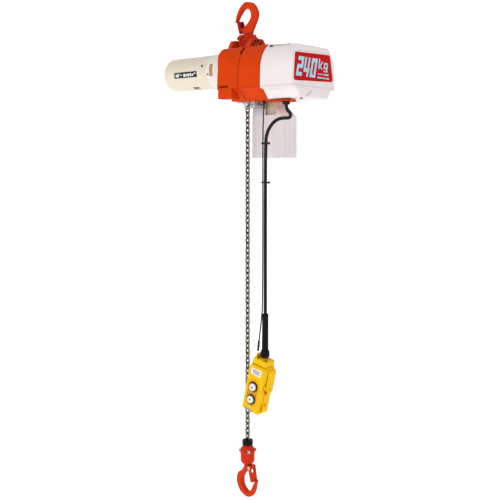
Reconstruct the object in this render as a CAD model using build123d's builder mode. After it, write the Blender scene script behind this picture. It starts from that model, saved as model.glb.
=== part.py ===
from build123d import *
from math import acos, cos, pi, radians, sin, tan
import os

# Electric chain hoist with a hanging push-button pendant.
# Origin: the saddle of the top hook, where it hangs.  +Z is up, the load line runs down
# from the origin along -Z, the motor points to -X and the control box to +X, and the
# front of the hoist faces -Y.  Millimetres.

os.makedirs("parts", exist_ok=True)


def save(part, name):
    part.label = name
    export_step(part, f"parts/{name}.step")


# ---------------------------------------------------------------- driving dimensions
# load chain, 4 mm wire with a pitch of 12 mm
wire = 4.0
pitch = 12.0
link_arc = 4.6
link_gap = 0.15
links_per_run = 8
chain_runs = 9
links_into_block = 4
sheave_pockets = 5
pitch_circle = 2 * pitch * sheave_pockets / (2 * pi)
run_length = links_per_run * pitch

# housing, seen along X: half widths about its middle plane, and levels
mid_y = 14.0
wall = 4.0
levels = {"top": -97.0, "shoulder": -126.0, "belly": -160.0, "ledge": -197.0,
          "skirt": -204.0, "base": -224.0}
halves = {"top": 53.0, "shoulder": 77.0, "belly": 84.5, "ledge": 86.0,
          "skirt": 71.0, "base": 55.0}
full_shoulder = [(73.0, -102.5), (81.5, -113.0), (84.0, -134.0)]
housing_left = -37.0
shoulder_end = 16.0
housing_split = 30.0
housing_right = 95.0
cover_right = 186.0
cover_wall = 3.0

# drive axis, shared by the motor, the rotor and the chain sheave
axis_y = pitch_circle
axis_z = -141.0
motor_end = -266.0
motor_seam = -113.0
motor_radius = 42.5
shell_wall = 3.5

# gear train: rotor pinion -> first stage gear, countershaft pinion -> load gear
fast_module, slow_module = 0.75, 1.25
rotor_teeth, first_teeth = 12, 78
counter_teeth, load_teeth = 10, 44
centre_distance = fast_module * (rotor_teeth + first_teeth) / 2
counter_angle = -135.0
counter_y = axis_y + centre_distance * cos(radians(counter_angle))
counter_z = axis_z + centre_distance * sin(radians(counter_angle))

# load block under the chain
bumper_top = -1032.0
bumper_bottom = -1044.0
block_bottom = -1089.0
hook_half = 7.0

# top suspension
yoke_top = -62.0
yoke_bottom = -95.0
pin_z = -86.0

# pendant and its cable
cable_radius = 4.0
rope_radius = 1.5
pendant_top = (84.0, -37.4, -814.5)
pendant_tilt = 13.5


# ---------------------------------------------------------------- helpers
def disc(x0, x1, radius, y=axis_y, z=axis_z, mode=Mode.ADD):
    """A round disc or a bore along X, from x0 to x1."""
    with BuildSketch(Plane.YZ.offset(x0)) as face:
        with Locations((y, z)):
            Circle(radius)
    extrude(face.sketch, amount=x1 - x0, mode=mode)


def block(low, high, mode=Mode.ADD):
    """A box between two corners."""
    with BuildSketch(Plane.XY.offset(low[2])) as face:
        with Locations(((low[0] + high[0]) / 2, (low[1] + high[1]) / 2)):
            Rectangle(high[0] - low[0], high[1] - low[1])
    extrude(face.sketch, amount=high[2] - low[2], mode=mode)


def post(z0, z1, radius, x=0.0, y=0.0, mode=Mode.ADD):
    """A round post or a bore along Z, from z0 to z1."""
    with BuildSketch(Plane.XY.offset(z0)) as face:
        with Locations((x, y)):
            Circle(radius)
    extrude(face.sketch, amount=z1 - z0, mode=mode)


def stud(y0, y1, radius, x, z, mode=Mode.ADD):
    """A round stud or a bore along Y, from y0 to y1."""
    with BuildSketch(Plane.XZ.offset(-y0)) as face:
        with Locations((x, z)):
            Circle(radius)
    extrude(face.sketch, amount=y0 - y1, mode=mode)


def housing_outline(square=False):
    """The cross section that the housing and the control cover share.
    The square one, at the motor's end, has fuller shoulders."""
    with BuildLine() as rim:
        Line((mid_y - halves["top"], levels["top"]), (mid_y + halves["top"], levels["top"]))
        for side in (-1, 1):
            crown = (mid_y + side * halves["top"], levels["top"])
            belly = (mid_y + side * halves["belly"], levels["belly"])
            if square:
                Spline(crown, *[(mid_y + side * half, z) for half, z in full_shoulder], belly)
            else:
                ThreePointArc(crown, (mid_y + side * halves["shoulder"], levels["shoulder"]), belly)
            Polyline(
                *[(mid_y + side * halves[k], levels[k]) for k in ("belly", "ledge", "skirt", "base")]
            )
        Line((mid_y - halves["base"], levels["base"]), (mid_y + halves["base"], levels["base"]))
    make_face(rim.edges())


def housing_solid(x0, x1, inset=0.0, mode=Mode.ADD):
    """The housing section from x0 to x1, made smaller all round by inset."""
    with BuildSketch(Plane.YZ.offset(x0)) as section:
        housing_outline()
        if inset:
            offset(amount=-inset, kind=Kind.INTERSECTION, mode=Mode.REPLACE)
    extrude(section.sketch, amount=x1 - x0, mode=mode)


def cap_screw(plane, radius, head, length, height=3.0):
    """A socket head screw whose head sits on the plane and whose shank goes below it."""
    with BuildSketch(plane) as top:
        Circle(head)
    extrude(top.sketch, amount=height)
    with BuildSketch(plane) as shank:
        Circle(radius)
    extrude(shank.sketch, amount=-length)
    with BuildSketch(plane.offset(height)) as socket:
        RegularPolygon(head * 0.55, 6)
    extrude(socket.sketch, amount=-height * 0.6, mode=Mode.SUBTRACT)


# ---------------------------------------------------------------- top hook
hook_outer = [(-24, 2), (-2, 17), (20, 11), (33, -9), (32.5, -24), (24, -42), (17, -58)]
hook_inner = [(-28.5, -25.5), (-19.5, -11), (-10.5, -1.6), (0, 0.6), (9, -4.6), (13.5, -15),
              (10.5, -27), (1, -37), (-8, -45)]
hook_tip = (-37, -28)
latch_pivot = (-15.0, -55.5)
top_neck = 7.0

with BuildPart() as top_hook:
    with BuildSketch(Plane.XZ.offset(-hook_half)):
        with BuildLine():
            Spline(hook_tip, *hook_outer)
            Polyline(hook_outer[-1], (15, -61), (-18, -61), (-21.5, -55), (-16, -49.5), hook_inner[-1])
            Spline(*hook_inner)
            ThreePointArc(hook_inner[0], (-32.5, -33.5), hook_tip)
        make_face()
    extrude(amount=2 * hook_half)
    fillet(top_hook.edges().filter_by(Plane.XZ), 2)
    post(-66.5, -60.0, top_neck)
    post(-75.5, -66.5, 9.0)
    stud(-hook_half, hook_half, 2.55, *latch_pivot, mode=Mode.SUBTRACT)
save(top_hook.part, "top_hook")


def latch_solid(pivot, lean, length, ear_half, plate_half, side, up):
    """A pressed latch: a plate along its outer side and two ears around the pivot.
    side is the way the plate faces along X, up is +1 for a latch that rises."""
    plane = Plane(origin=(pivot[0], 0, pivot[1]), x_dir=(1, 0, 0), z_dir=(0, -1, 0))
    plane = plane.rotated((0, lean, 0))
    s = side
    with BuildSketch(plane.offset(-plate_half)) as side_face:
        with BuildLine():
            Polyline((s * 5, 0), (s * 5, up * length), (-s * 2, up * length), (-s * 3, up * length * 0.55),
                     (-s * 4.2, 0))
            ThreePointArc((-s * 4.2, 0), (s * 0.4, -up * 4.8), (s * 5, 0))
        make_face()
    extrude(side_face.sketch, amount=2 * plate_half)
    with BuildSketch(plane.offset(-ear_half)) as channel:
        with BuildLine():
            Polyline((s * 3.2, up * 11), (s * 3.2, up * (length + 1)), (-s * 9, up * (length + 1)),
                     (-s * 9, -up * 9), (s * 9, -up * 9), (s * 9, up * 11), (s * 3.2, up * 11))
        make_face()
    extrude(channel.sketch, amount=2 * ear_half, mode=Mode.SUBTRACT)
    stud(-plate_half - 1, plate_half + 1, 2.55, *pivot, mode=Mode.SUBTRACT)


with BuildPart() as top_hook_latch:
    latch_solid(latch_pivot, -14, 30, hook_half + 0.4, hook_half + 2.0, -1, 1)
save(top_hook_latch.part, "top_hook_latch")


def latch_pin_solid(pivot):
    stud(-hook_half - 2.6, hook_half + 2.6, 2.5, *pivot)
    stud(-hook_half - 3.8, -hook_half - 2.4, 3.8, *pivot)
    stud(hook_half + 2.4, hook_half + 3.8, 3.8, *pivot)


with BuildPart() as top_latch_pin:
    latch_pin_solid(latch_pivot)
save(top_latch_pin.part, "top_latch_pin")

# ---------------------------------------------------------------- suspension yoke
yoke_half_x = 19.0
yoke_half_y = 13.0
clamp_x = 13.5
clamp_z = -71.5
with BuildPart() as hook_yoke:
    block((-yoke_half_x, -yoke_half_y, yoke_bottom), (yoke_half_x, yoke_half_y, yoke_top))
    fillet(hook_yoke.edges().filter_by(Axis.Z), 4)
    fillet(hook_yoke.faces().sort_by(Axis.Z)[-1].edges(), 2.5)
    post(-77.0, -65.5, 9.4, mode=Mode.SUBTRACT)
    post(-66.0, yoke_top + 1, top_neck + 0.3, mode=Mode.SUBTRACT)
    disc(-yoke_half_x - 1, yoke_half_x + 1, 4.55, 0, pin_z, mode=Mode.SUBTRACT)
    for x in (-clamp_x, clamp_x):
        stud(-yoke_half_y - 1, yoke_half_y + 1, 2.55, x, clamp_z, mode=Mode.SUBTRACT)
    block((-30, -0.15, yoke_bottom - 1), (30, 0.15, yoke_top + 1), mode=Mode.SUBTRACT)
save(hook_yoke.part, "hook_yoke")

# ---------------------------------------------------------------- orange housing, two halves
bearing_wide = 17.0
bearing_seat = bearing_wide + 0.02
small_bearing = 9.5
rotor_bearing = 8.0
lug_left = (-34.0, -22.5)
lug_right = (30.0, 42.0)
leg = ((-31.0, -71.5, -219.0), (12.0, -44.0, -191.0))
chain_mouth = 11.0


lug_front_left = [(-38, levels["top"] - 8), (-25, -80), (-19, -76)]
lug_front_right = [(-43, levels["top"] - 8), (-37, -86), (-27, -76)]
lug_rear = [(6, -76), (12, -80), (24, levels["top"] - 8)]


def lug(x0, x1, front):
    """An upright lug that carries the suspension pin."""
    with BuildSketch(Plane.YZ.offset(x0)) as side_face:
        with BuildLine():
            Polyline(*front, *lug_rear, close=True)
        make_face()
    extrude(side_face.sketch, amount=x1 - x0)


raised_base = -212.0
base_step = -13.0


def raised_floor():
    """The floor of the housing's motor end, which lies higher, and the step down from it."""
    with BuildPart() as floor:
        housing_solid(housing_left + 2, base_step + 2, 0.5)
        block((housing_left, -90, raised_base + wall), (0, 110, levels["top"]), mode=Mode.SUBTRACT)
        block((housing_left, -90, levels["base"]), (base_step, 110, raised_base), mode=Mode.SUBTRACT)
    return floor.part


with BuildPart() as motor_side_housing:
    with BuildSketch(Plane.YZ.offset(housing_left)) as full_end:
        housing_outline(square=True)
    with BuildSketch(Plane.YZ.offset(shoulder_end)) as plain_end:
        housing_outline()
    loft(full_end.sketch.faces() + plain_end.sketch.faces())
    housing_solid(shoulder_end, housing_split)
    left_rim = motor_side_housing.faces().sort_by(Axis.X)[0].edges()
    fillet(left_rim, 6)
    block((housing_left - 1, -90, levels["base"] - 1), (base_step, 110, raised_base), mode=Mode.SUBTRACT)
    block(*leg)
    lug(*lug_left, lug_front_left)
    housing_solid(housing_left + wall, housing_split + 1, wall, Mode.SUBTRACT)
    add(raised_floor())
    disc(housing_left + wall - 1, -23.0, 22.0)
    disc(-31.0, -22.0, bearing_seat, mode=Mode.SUBTRACT)
    disc(housing_left - 1, -30.0, 12.0, mode=Mode.SUBTRACT)
    disc(lug_left[0] - 1, lug_left[1] + 1, 4.55, 0, pin_z, mode=Mode.SUBTRACT)
    # slit above the leg, notch at the top of the seam, mouths for the two falls of chain
    block((-27, -76, -192.5), (0, -69, -189.5), mode=Mode.SUBTRACT)
    block((23, -60, -116), (31, -34, -90), mode=Mode.SUBTRACT)
    block((-chain_mouth, -chain_mouth, -230), (chain_mouth, 51, -215), mode=Mode.SUBTRACT)
save(motor_side_housing.part, "motor_side_housing")

bulkhead = (48.0, 54.0)
with BuildPart() as gear_side_housing:
    housing_solid(housing_split, housing_right)
    lug(*lug_right, lug_front_right)
    housing_solid(housing_split - 1, bulkhead[0], wall, Mode.SUBTRACT)
    housing_solid(bulkhead[1], housing_right - wall, wall, Mode.SUBTRACT)
    disc(bulkhead[0] - 1, bulkhead[1] + 1, bearing_seat, mode=Mode.SUBTRACT)
    disc(bulkhead[0] - 1, bulkhead[1] + 1, small_bearing + 0.02, counter_y, counter_z,
         mode=Mode.SUBTRACT)
    disc(86.0, housing_right - wall + 1, 12.5)
    disc(86.0, housing_right - wall + 1, 13.0, counter_y, counter_z)
    disc(85.0, housing_right - wall, rotor_bearing + 0.02, mode=Mode.SUBTRACT)
    disc(85.0, housing_right - wall, small_bearing + 0.02, counter_y, counter_z,
         mode=Mode.SUBTRACT)
    disc(lug_right[0] - 1, lug_right[1] + 1, 4.55, 0, pin_z, mode=Mode.SUBTRACT)
    # pockets between the ribs of the lug
    with BuildSketch(Plane.YZ.offset(lug_right[1])):
        for angle in (80, 117, 154):
            with BuildLine():
                Polyline(*[(r * cos(radians(a)) - 15, r * sin(radians(a)) - 98) for r, a in
                           [(9, angle), (19, angle - 13), (19, angle + 13), (9, angle)]])
            make_face()
    extrude(amount=-6, mode=Mode.SUBTRACT)
save(gear_side_housing.part, "gear_side_housing")

# suspension pin and yoke clamp bolts
with BuildPart() as housing_bolts:
    disc(lug_left[0] - 2.0, lug_right[1] - 0.5, 4.5, 0, pin_z)
    disc(lug_left[0] - 5.5, lug_left[0], 7.0, 0, pin_z)
    for x in (-clamp_x, clamp_x):
        face = Plane(origin=(x, -yoke_half_y, clamp_z), x_dir=(1, 0, 0), z_dir=(0, -1, 0))
        cap_screw(face, 2.5, 5.2, 2 * yoke_half_y, 4.5)
        stud(yoke_half_y, yoke_half_y + 4.0, 5.0, x, clamp_z)
save(housing_bolts.part, "housing_bolts")

# ---------------------------------------------------------------- under the housing
gland_x, gland_y = 138.0, -28.0
with BuildPart() as bottom_plate:
    block((98, -43, -229.5), (158, -13, -225.6))
    fillet(bottom_plate.edges().filter_by(Axis.Z), 6)
    post(-231, -225, 6.6, gland_x, gland_y, mode=Mode.SUBTRACT)
save(bottom_plate.part, "bottom_plate")

guide_bottom = -233.0
with BuildPart() as chain_guide:
    block((-21, -20, -226.4), (22, 52, -224.4))
    fillet(chain_guide.edges().filter_by(Axis.Z), 5)
    post(guide_bottom, -226.0, 10.6)
    post(-240, -222, 8.4, mode=Mode.SUBTRACT)
    post(-240, -222, 9.4, 0, 2 * axis_y, mode=Mode.SUBTRACT)

lever_pivot = (34.0, -231.0)
with BuildPart() as limit_lever:
    block((-12, -13, -238.4), (38, 13, -236.4))
    fillet(limit_lever.edges().filter_by(Axis.Z).group_by(Axis.X)[0], 8)
    for y in (-13, 11):
        block((30, y, -237), (38, y + 2, -228.6))
    stud(-16, 16, 2.0, *lever_pivot)
    post(-240, -230, 8.8, mode=Mode.SUBTRACT)
save(limit_lever.part, "limit_lever")

with BuildPart() as limit_bracket:
    block((28, -22, -240), (40, 22, -224.4))
    block((29.9, -13.6, -242), (42, 13.6, -226.4), mode=Mode.SUBTRACT)
    block((20, -13.6, -242), (30.2, 13.6, -226.4), mode=Mode.SUBTRACT)
    stud(-23, 23, 2.05, *lever_pivot, mode=Mode.SUBTRACT)
save(Compound(children=[chain_guide.part, limit_bracket.part]), "chain_guide")

# ---------------------------------------------------------------- motor
shell_inner = motor_radius - shell_wall
with BuildPart() as motor_shell:
    disc(motor_end, motor_seam - 0.4, motor_radius)
    fillet(motor_shell.faces().sort_by(Axis.X)[0].edges(), 9)
    disc(motor_end + 4, motor_seam, shell_inner, mode=Mode.SUBTRACT)
    disc(motor_end + 3, -249.0, 13.0)
    disc(-256.0, -248.0, rotor_bearing + 0.02, mode=Mode.SUBTRACT)
    # cooling slot under the motor
    block((-180, axis_y - 22, -190), (-158, axis_y - 8, -170), mode=Mode.SUBTRACT)
save(motor_shell.part, "motor_shell")

window_x = (-103.5, -93.5)
with BuildPart() as motor_flange:
    disc(motor_seam, housing_left, motor_radius + 0.6)
    disc(motor_seam - 1, housing_left - 5, shell_inner - 0.5, mode=Mode.SUBTRACT)
    disc(housing_left - 6, housing_left + 1, 14.0, mode=Mode.SUBTRACT)
    block((window_x[0], -30, -156), (window_x[1], -12, -126), mode=Mode.SUBTRACT)
save(motor_flange.part, "motor_flange")

with BuildPart() as brush_window:
    disc(window_x[0] + 0.3, window_x[1] - 0.3, motor_radius + 1.4)
    disc(window_x[0], window_x[1], shell_inner - 0.3, mode=Mode.SUBTRACT)
    block((-120, -30, -155.7), (-80, -15, -126.3), mode=Mode.INTERSECT)
save(brush_window.part, "brush_window")

stator = (-196.0, -130.0)
with BuildPart() as stator_core:
    disc(*stator, shell_inner - 0.05)
    disc(stator[0] - 1, stator[1] + 1, 24.6, mode=Mode.SUBTRACT)
    with BuildSketch(Plane.YZ.offset(stator[0])):
        with Locations((axis_y, axis_z)):
            with PolarLocations(30.5, 12):
                Rectangle(9, 6)
    extrude(amount=stator[1] - stator[0], mode=Mode.SUBTRACT)
save(stator_core.part, "stator_core")

with BuildPart() as stator_windings:
    for x0 in (stator[0] - 8.2, stator[1] + 0.2):
        disc(x0, x0 + 8, 36.0)
        disc(x0 - 1, x0 + 9, 26.0, mode=Mode.SUBTRACT)
save(stator_windings.part, "stator_windings")

rotor_shaft_radius = 3.5
commutator_x = (-107.0, -89.0)
with BuildPart() as rotor_core:
    disc(*stator, 24.0)
    with BuildSketch(Plane.YZ.offset(stator[0])):
        with Locations((axis_y, axis_z)):
            with PolarLocations(23.5, 16):
                Rectangle(5, 2.4)
    extrude(amount=stator[1] - stator[0], mode=Mode.SUBTRACT)
    disc(*commutator_x, 13.0)
    with BuildSketch(Plane.YZ.offset(commutator_x[0] + 3)):
        with Locations((axis_y, axis_z)):
            with PolarLocations(13.0, 20):
                Rectangle(1.6, 0.6)
    extrude(amount=commutator_x[1] - commutator_x[0] - 3, mode=Mode.SUBTRACT)
    disc(stator[0] - 1, commutator_x[1] + 1, rotor_shaft_radius, mode=Mode.SUBTRACT)
save(rotor_core.part, "rotor_core")

with BuildPart() as brush_gear:
    for side in (-1, 1):
        near, far = sorted((axis_y + side * 13.4, axis_y + side * 36.5))
        block((-102, near, axis_z - 4), (-94, far, axis_z + 4))
save(brush_gear.part, "brush_gear")

with BuildPart() as motor_fan:
    disc(-246, -232, 9.0)
    disc(-234, -232, 34.0)
    with BuildSketch(Plane.YZ.offset(-245)):
        with Locations((axis_y, axis_z)):
            with PolarLocations(21, 9):
                Rectangle(25, 2)
    extrude(amount=12)
    disc(-247, -231, rotor_shaft_radius, mode=Mode.SUBTRACT)
save(motor_fan.part, "motor_fan")

# spring-applied brake between the fan and the stator
with BuildPart() as brake_coil:
    disc(-229, -214.4, 36.0)
    disc(-230, -214, 12.0, mode=Mode.SUBTRACT)
    disc(-225, -214, 28.0, mode=Mode.SUBTRACT)
    disc(-225, -214.4, 19.0)
    disc(-230, -214, 12.0, mode=Mode.SUBTRACT)
save(brake_coil.part, "brake_coil")

with BuildPart() as brake_armature:
    disc(-213.8, -210.2, 34.0)
    disc(-214, -210, 10.0, mode=Mode.SUBTRACT)
save(brake_armature.part, "brake_armature")

with BuildPart() as brake_disc:
    disc(-210.0, -206.0, 32.0)
    disc(-206.2, -204.8, 9.0)
    disc(-211, -204, rotor_shaft_radius, mode=Mode.SUBTRACT)
save(brake_disc.part, "brake_disc")


# ---------------------------------------------------------------- gear train
pressure_angle = radians(25)


def half_angle(radius, pitch_radius, teeth):
    """Half the angle that an involute tooth takes up at a radius."""
    def roll(r):
        a = acos(min(1.0, pitch_radius * cos(pressure_angle) / r))
        return tan(a) - a
    backlash = 0.16 * 2 * pitch_radius / teeth
    return pi / (2 * teeth) - backlash / (4 * pitch_radius) + roll(pitch_radius) - roll(radius)


def gear(x0, x1, teeth, module, y, z, phase, bore):
    """A spur gear with its first tooth at the angle phase, in degrees, from +Y towards +Z."""
    r_pitch = module * teeth / 2
    r_root, r_tip = r_pitch - 1.08 * module, r_pitch + 0.8 * module
    radii = [max(r_root + 0.05, r_pitch * cos(pressure_angle)), r_pitch, r_tip]
    outline = []
    for k in range(teeth):
        middle = radians(phase) + 2 * pi * k / teeth
        flank = [(r, half_angle(r, r_pitch, teeth)) for r in radii]
        foot = (r_root, flank[0][1])
        for r, half in [foot] + flank:
            outline.append((r * cos(middle - half), r * sin(middle - half)))
        for r, half in flank[::-1] + [foot]:
            outline.append((r * cos(middle + half), r * sin(middle + half)))
    with BuildSketch(Plane.YZ.offset(x0)) as face:
        with BuildLine():
            Polyline(*[(y + u, z + v) for u, v in outline], close=True)
        make_face()
        if bore:
            with Locations((y, z)):
                Circle(bore, mode=Mode.SUBTRACT)
    extrude(face.sketch, amount=x1 - x0)


with BuildPart() as rotor_shaft:
    disc(-255.5, 57.9, rotor_shaft_radius)
    disc(70.1, 90.5, rotor_shaft_radius)
    gear(57.9, 70.1, rotor_teeth, fast_module, axis_y, axis_z, counter_angle, 0)
save(rotor_shaft.part, "rotor_shaft")

counter_radius = 4.0
with BuildPart() as countershaft:
    gear(34.5, 46.0, counter_teeth, slow_module, counter_y, counter_z,
         counter_angle + 180 + 180 / counter_teeth, 0)
    disc(46.0, 90.5, counter_radius, counter_y, counter_z)
save(countershaft.part, "countershaft")

with BuildPart() as first_stage_gear:
    gear(59.5, 68.0, first_teeth, fast_module, counter_y, counter_z,
         counter_angle + 180 + 180 / first_teeth, counter_radius)
    with BuildSketch(Plane.YZ.offset(59)):
        with Locations((counter_y, counter_z)):
            with PolarLocations(17, 6):
                Circle(5)
    extrude(amount=10, mode=Mode.SUBTRACT)
save(first_stage_gear.part, "first_stage_gear")

sheave_radius = 9.97
pocket_floor = 14.6
with BuildPart() as load_sheave:
    disc(-32.0, 54.0, sheave_radius)
    disc(-14.0, 14.0, 25.5)
    disc(-7.4, 7.4, 30, mode=Mode.SUBTRACT)
    disc(-7.5, 7.5, 18.0)
    with BuildSketch(Plane.YZ.offset(-7.4)):
        with Locations((axis_y, axis_z)):
            with PolarLocations(pocket_floor + 10, sheave_pockets, start_angle=126):
                Rectangle(20, 22.6)
    extrude(amount=14.8, mode=Mode.SUBTRACT)
    disc(-2.9, 2.9, 30, mode=Mode.SUBTRACT)
    disc(-3.0, 3.0, 11.0)
    disc(-33, 55, 4.5, mode=Mode.SUBTRACT)
save(load_sheave.part, "load_sheave")

with BuildPart() as load_gear:
    gear(35.0, 45.5, load_teeth, slow_module, axis_y, axis_z, counter_angle, sheave_radius)
save(load_gear.part, "load_gear")


def ball_bearing(x0, x1, outer, inner, y=axis_y, z=axis_z):
    disc(x0, x1, outer, y, z)
    disc(x0 - 1, x1 + 1, inner, y, z, mode=Mode.SUBTRACT)


with BuildPart() as shaft_bearings:
    ball_bearing(-31.0, -24.0, bearing_wide, sheave_radius + 0.03)
    ball_bearing(bulkhead[0], bulkhead[1] - 0.2, bearing_wide, sheave_radius + 0.03)
    ball_bearing(-256.0, -249.5, rotor_bearing, rotor_shaft_radius + 0.03)
    ball_bearing(86.2, 90.8, rotor_bearing, rotor_shaft_radius + 0.03)
    ball_bearing(bulkhead[0], bulkhead[1], small_bearing, counter_radius + 0.03, counter_y, counter_z)
    ball_bearing(86.2, 90.8, small_bearing, counter_radius + 0.03, counter_y, counter_z)
save(shaft_bearings.part, "shaft_bearings")

# ---------------------------------------------------------------- control box
cover_shrink = 0.8
cover_fall = 6.0
groove_radius = 4.0


def cover_bulk(x0, x1, inset):
    """The control cover's outside or its hollow. The top falls towards the end."""
    crest = levels["top"] - inset
    with BuildPart() as bulk:
        housing_solid(x0, x1, inset)
        with BuildSketch(Plane.XZ.offset(-150)) as above:
            with BuildLine():
                Polyline((housing_right - 1, crest), (cover_right, crest - cover_fall),
                         (cover_right, crest + 20), (housing_right - 1, crest + 20), close=True)
            make_face()
        extrude(above.sketch, amount=300, mode=Mode.SUBTRACT)
    return bulk


with BuildPart() as control_cover:
    add(cover_bulk(housing_right + 0.4, cover_right, cover_shrink).part)
    fillet(control_cover.faces().sort_by(Axis.X)[-1].edges(), 5)
    add(cover_bulk(housing_right, cover_right - cover_wall, cover_shrink + cover_wall).part,
        mode=Mode.SUBTRACT)
    # shallow groove along the top front corner, and the opening for the cable gland
    disc(103, 162, groove_radius, -47.1, -101.9, mode=Mode.SUBTRACT)
    post(-226, -215, 9.0, gland_x, gland_y, mode=Mode.SUBTRACT)
save(control_cover.part, "control_cover")

with BuildPart() as circuit_board:
    block((100, -30, -206), (101.6, 58, -116))
    block((101.6, -24, -160), (128, 4, -124))
    block((101.6, 16, -176), (134, 52, -132))
    block((101.6, -20, -200), (120, 44, -184))
    for y in range(-22, 50, 9):
        block((101.6, y, -180), (109, y + 6, -177))
save(circuit_board.part, "circuit_board")

with BuildPart() as cable_gland:
    post(-225.5, -221.0, 8.8, gland_x, gland_y)
    post(-232.5, -225.5, 6.5, gland_x, gland_y)
    with BuildSketch(Plane.XY.offset(-235.5)):
        with Locations((gland_x, gland_y)):
            RegularPolygon(9.5, 6)
    extrude(amount=5.9)
    post(-237.0, -235.5, 8.0, gland_x, gland_y)
    post(-238, -220, cable_radius, gland_x, gland_y, mode=Mode.SUBTRACT)
save(cable_gland.part, "cable_gland")

# ---------------------------------------------------------------- load chain
with BuildPart() as link:
    straight = pitch + link_gap + wire - 2 * link_arc
    with BuildLine(Plane.XY) as rim:
        s, a = straight / 2, link_arc
        Line((-s, a), (s, a))
        ThreePointArc((s, a), (s + a, 0), (s, -a))
        Line((s, -a), (-s, -a))
        ThreePointArc((-s, -a), (-s - a, 0), (-s, a))
    with BuildSketch(Plane(origin=(-s, a, 0), z_dir=(1, 0, 0))):
        Circle(wire / 2)
    sweep(path=rim.wires()[0])


def link_at(centre, along, normal):
    """One link with its long way along a direction, lying in the plane of a normal."""
    return Plane(origin=centre, x_dir=along, z_dir=normal).location * link.part


def hanging_links(first, count):
    """Links of the load fall, counted down from where the chain leaves the sheave."""
    out = []
    for i in range(first, first + count):
        z = axis_z - pitch / 2 - pitch * i
        out.append(link_at((0, 0, z), (0, 0, 1), (0, 1, 0) if i % 2 == 0 else (1, 0, 0)))
    return out


def sheave_links():
    """The five links over the sheave."""
    out = []
    radius = pitch / 2 / tan(radians(18))
    for k in range(5):
        a = radians(18 + 36 * k)
        centre = (0, axis_y - radius * cos(a), axis_z + radius * sin(a))
        along = (0, sin(a), cos(a))
        out.append(link_at(centre, along, (0, -cos(a), sin(a)) if k % 2 else (1, 0, 0)))
    return out


def slack_links():
    """The slack fall, down into the container and to and fro over its floor."""
    floor_z, turn, first_row = -346.5, 10.0, 38.2
    with BuildLine() as fall:
        Line((0, first_row, axis_z), (0, first_row, floor_z + turn))
        ThreePointArc((0, first_row, floor_z + turn),
                      (turn - turn * cos(pi / 4), first_row, floor_z + turn - turn * sin(pi / 4)),
                      (turn, first_row, floor_z))
        Line((turn, first_row, floor_z), (62, first_row, floor_z))
        ThreePointArc((62, first_row, floor_z), (70, first_row + 8, floor_z), (62, first_row + 16, floor_z))
        Line((62, first_row + 16, floor_z), (8, first_row + 16, floor_z))
        ThreePointArc((8, first_row + 16, floor_z), (0, first_row + 24, floor_z), (8, first_row + 32, floor_z))
        Line((8, first_row + 32, floor_z), (66, first_row + 32, floor_z))
    path = fall.wires()[0]
    out = []
    for i in range(int((path.length - pitch) / pitch)):
        t = (pitch / 2 + pitch * i) / path.length
        along = path % t
        side = Vector(0, 1, 0) if abs(along.Z) > 0.05 else along.cross(Vector(0, 0, 1))
        out.append(link_at(path @ t, along, side if i % 2 == 0 else along.cross(side)))
    return out


def save_links(links, name):
    save(Compound(children=links), name)


save_links(sheave_links() + hanging_links(0, links_per_run) + slack_links(), "chain_on_sheave")
for run in range(1, chain_runs - 1):
    save_links(hanging_links(run * links_per_run, links_per_run), f"load_chain_{run}")
save_links(hanging_links((chain_runs - 1) * links_per_run, links_per_run + links_into_block),
           "load_chain_end")

# ---------------------------------------------------------------- chain container
bin_low, bin_high = (-11.0, 25.0, -357.0), (83.0, 91.0, -231.0)
bin_shoulder = -258.0
bin_wall = 2.5


def bin_shape(inset, mode=Mode.ADD):
    """The container's outside, or with an inset the space in it."""
    low, high = bin_low, bin_high
    with BuildSketch(Plane.XY.offset(low[2] + inset)) as foot:
        with Locations(((low[0] + high[0]) / 2, (low[1] + high[1]) / 2)):
            RectangleRounded(high[0] - low[0] - 2 * inset, high[1] - low[1] - 2 * inset, 8)
    extrude(foot.sketch, amount=bin_shoulder - low[2] - inset, mode=mode)
    with BuildSketch(Plane.XY.offset(bin_shoulder)) as shoulder:
        with Locations(((low[0] + high[0]) / 2, (low[1] + high[1]) / 2)):
            RectangleRounded(high[0] - low[0] - 2 * inset, high[1] - low[1] - 2 * inset, 8)
    with BuildSketch(Plane.XY.offset(high[2])) as mouth:
        with Locations(((low[0] + 64) / 2, (28 + 76) / 2)):
            RectangleRounded(64 - low[0] - 2 * inset, 48 - 2 * inset, 8)
    loft(shoulder.sketch.faces() + mouth.sketch.faces(), mode=mode)


with BuildPart() as chain_container:
    bin_shape(0)
    bin_shape(bin_wall, Mode.SUBTRACT)
    block((34, 15, -254), (66, 40, -230), mode=Mode.SUBTRACT)
    # ears that hang it on the housing
    block((bin_low[0], 54, -245), (bin_low[0] + bin_wall, 67, levels["base"] - 0.2))
    block((59, 42, -238), (63, 62, levels["base"] - 0.2))
save(chain_container.part, "chain_container")

# ---------------------------------------------------------------- load block
with BuildPart() as hook_bumper:
    post(bumper_bottom, bumper_top, 12.8)
    fillet(hook_bumper.edges(), 1.6)
    post(bumper_bottom - 1, bumper_top + 1, 7.6, mode=Mode.SUBTRACT)
save(hook_bumper.part, "hook_bumper")

block_bolt_x, block_bolt_z = 12.6, -1056.5
block_profile = [(0, bumper_bottom - 0.2), (10.5, bumper_bottom - 0.2), (18.6, -1055.5), (18.6, -1058),
                 (16.8, -1066), (16.8, -1080.5), (15.9, -1084), (13.6, -1087.2), (10.5, block_bottom),
                 (0, block_bottom)]
last_link_z = axis_z - pitch / 2 - pitch * (links_per_run * chain_runs + links_into_block - 1)
end_pin_radius = 2.5
end_pin_z = last_link_z - (pitch + link_gap) / 2 + end_pin_radius + 0.05


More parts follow.
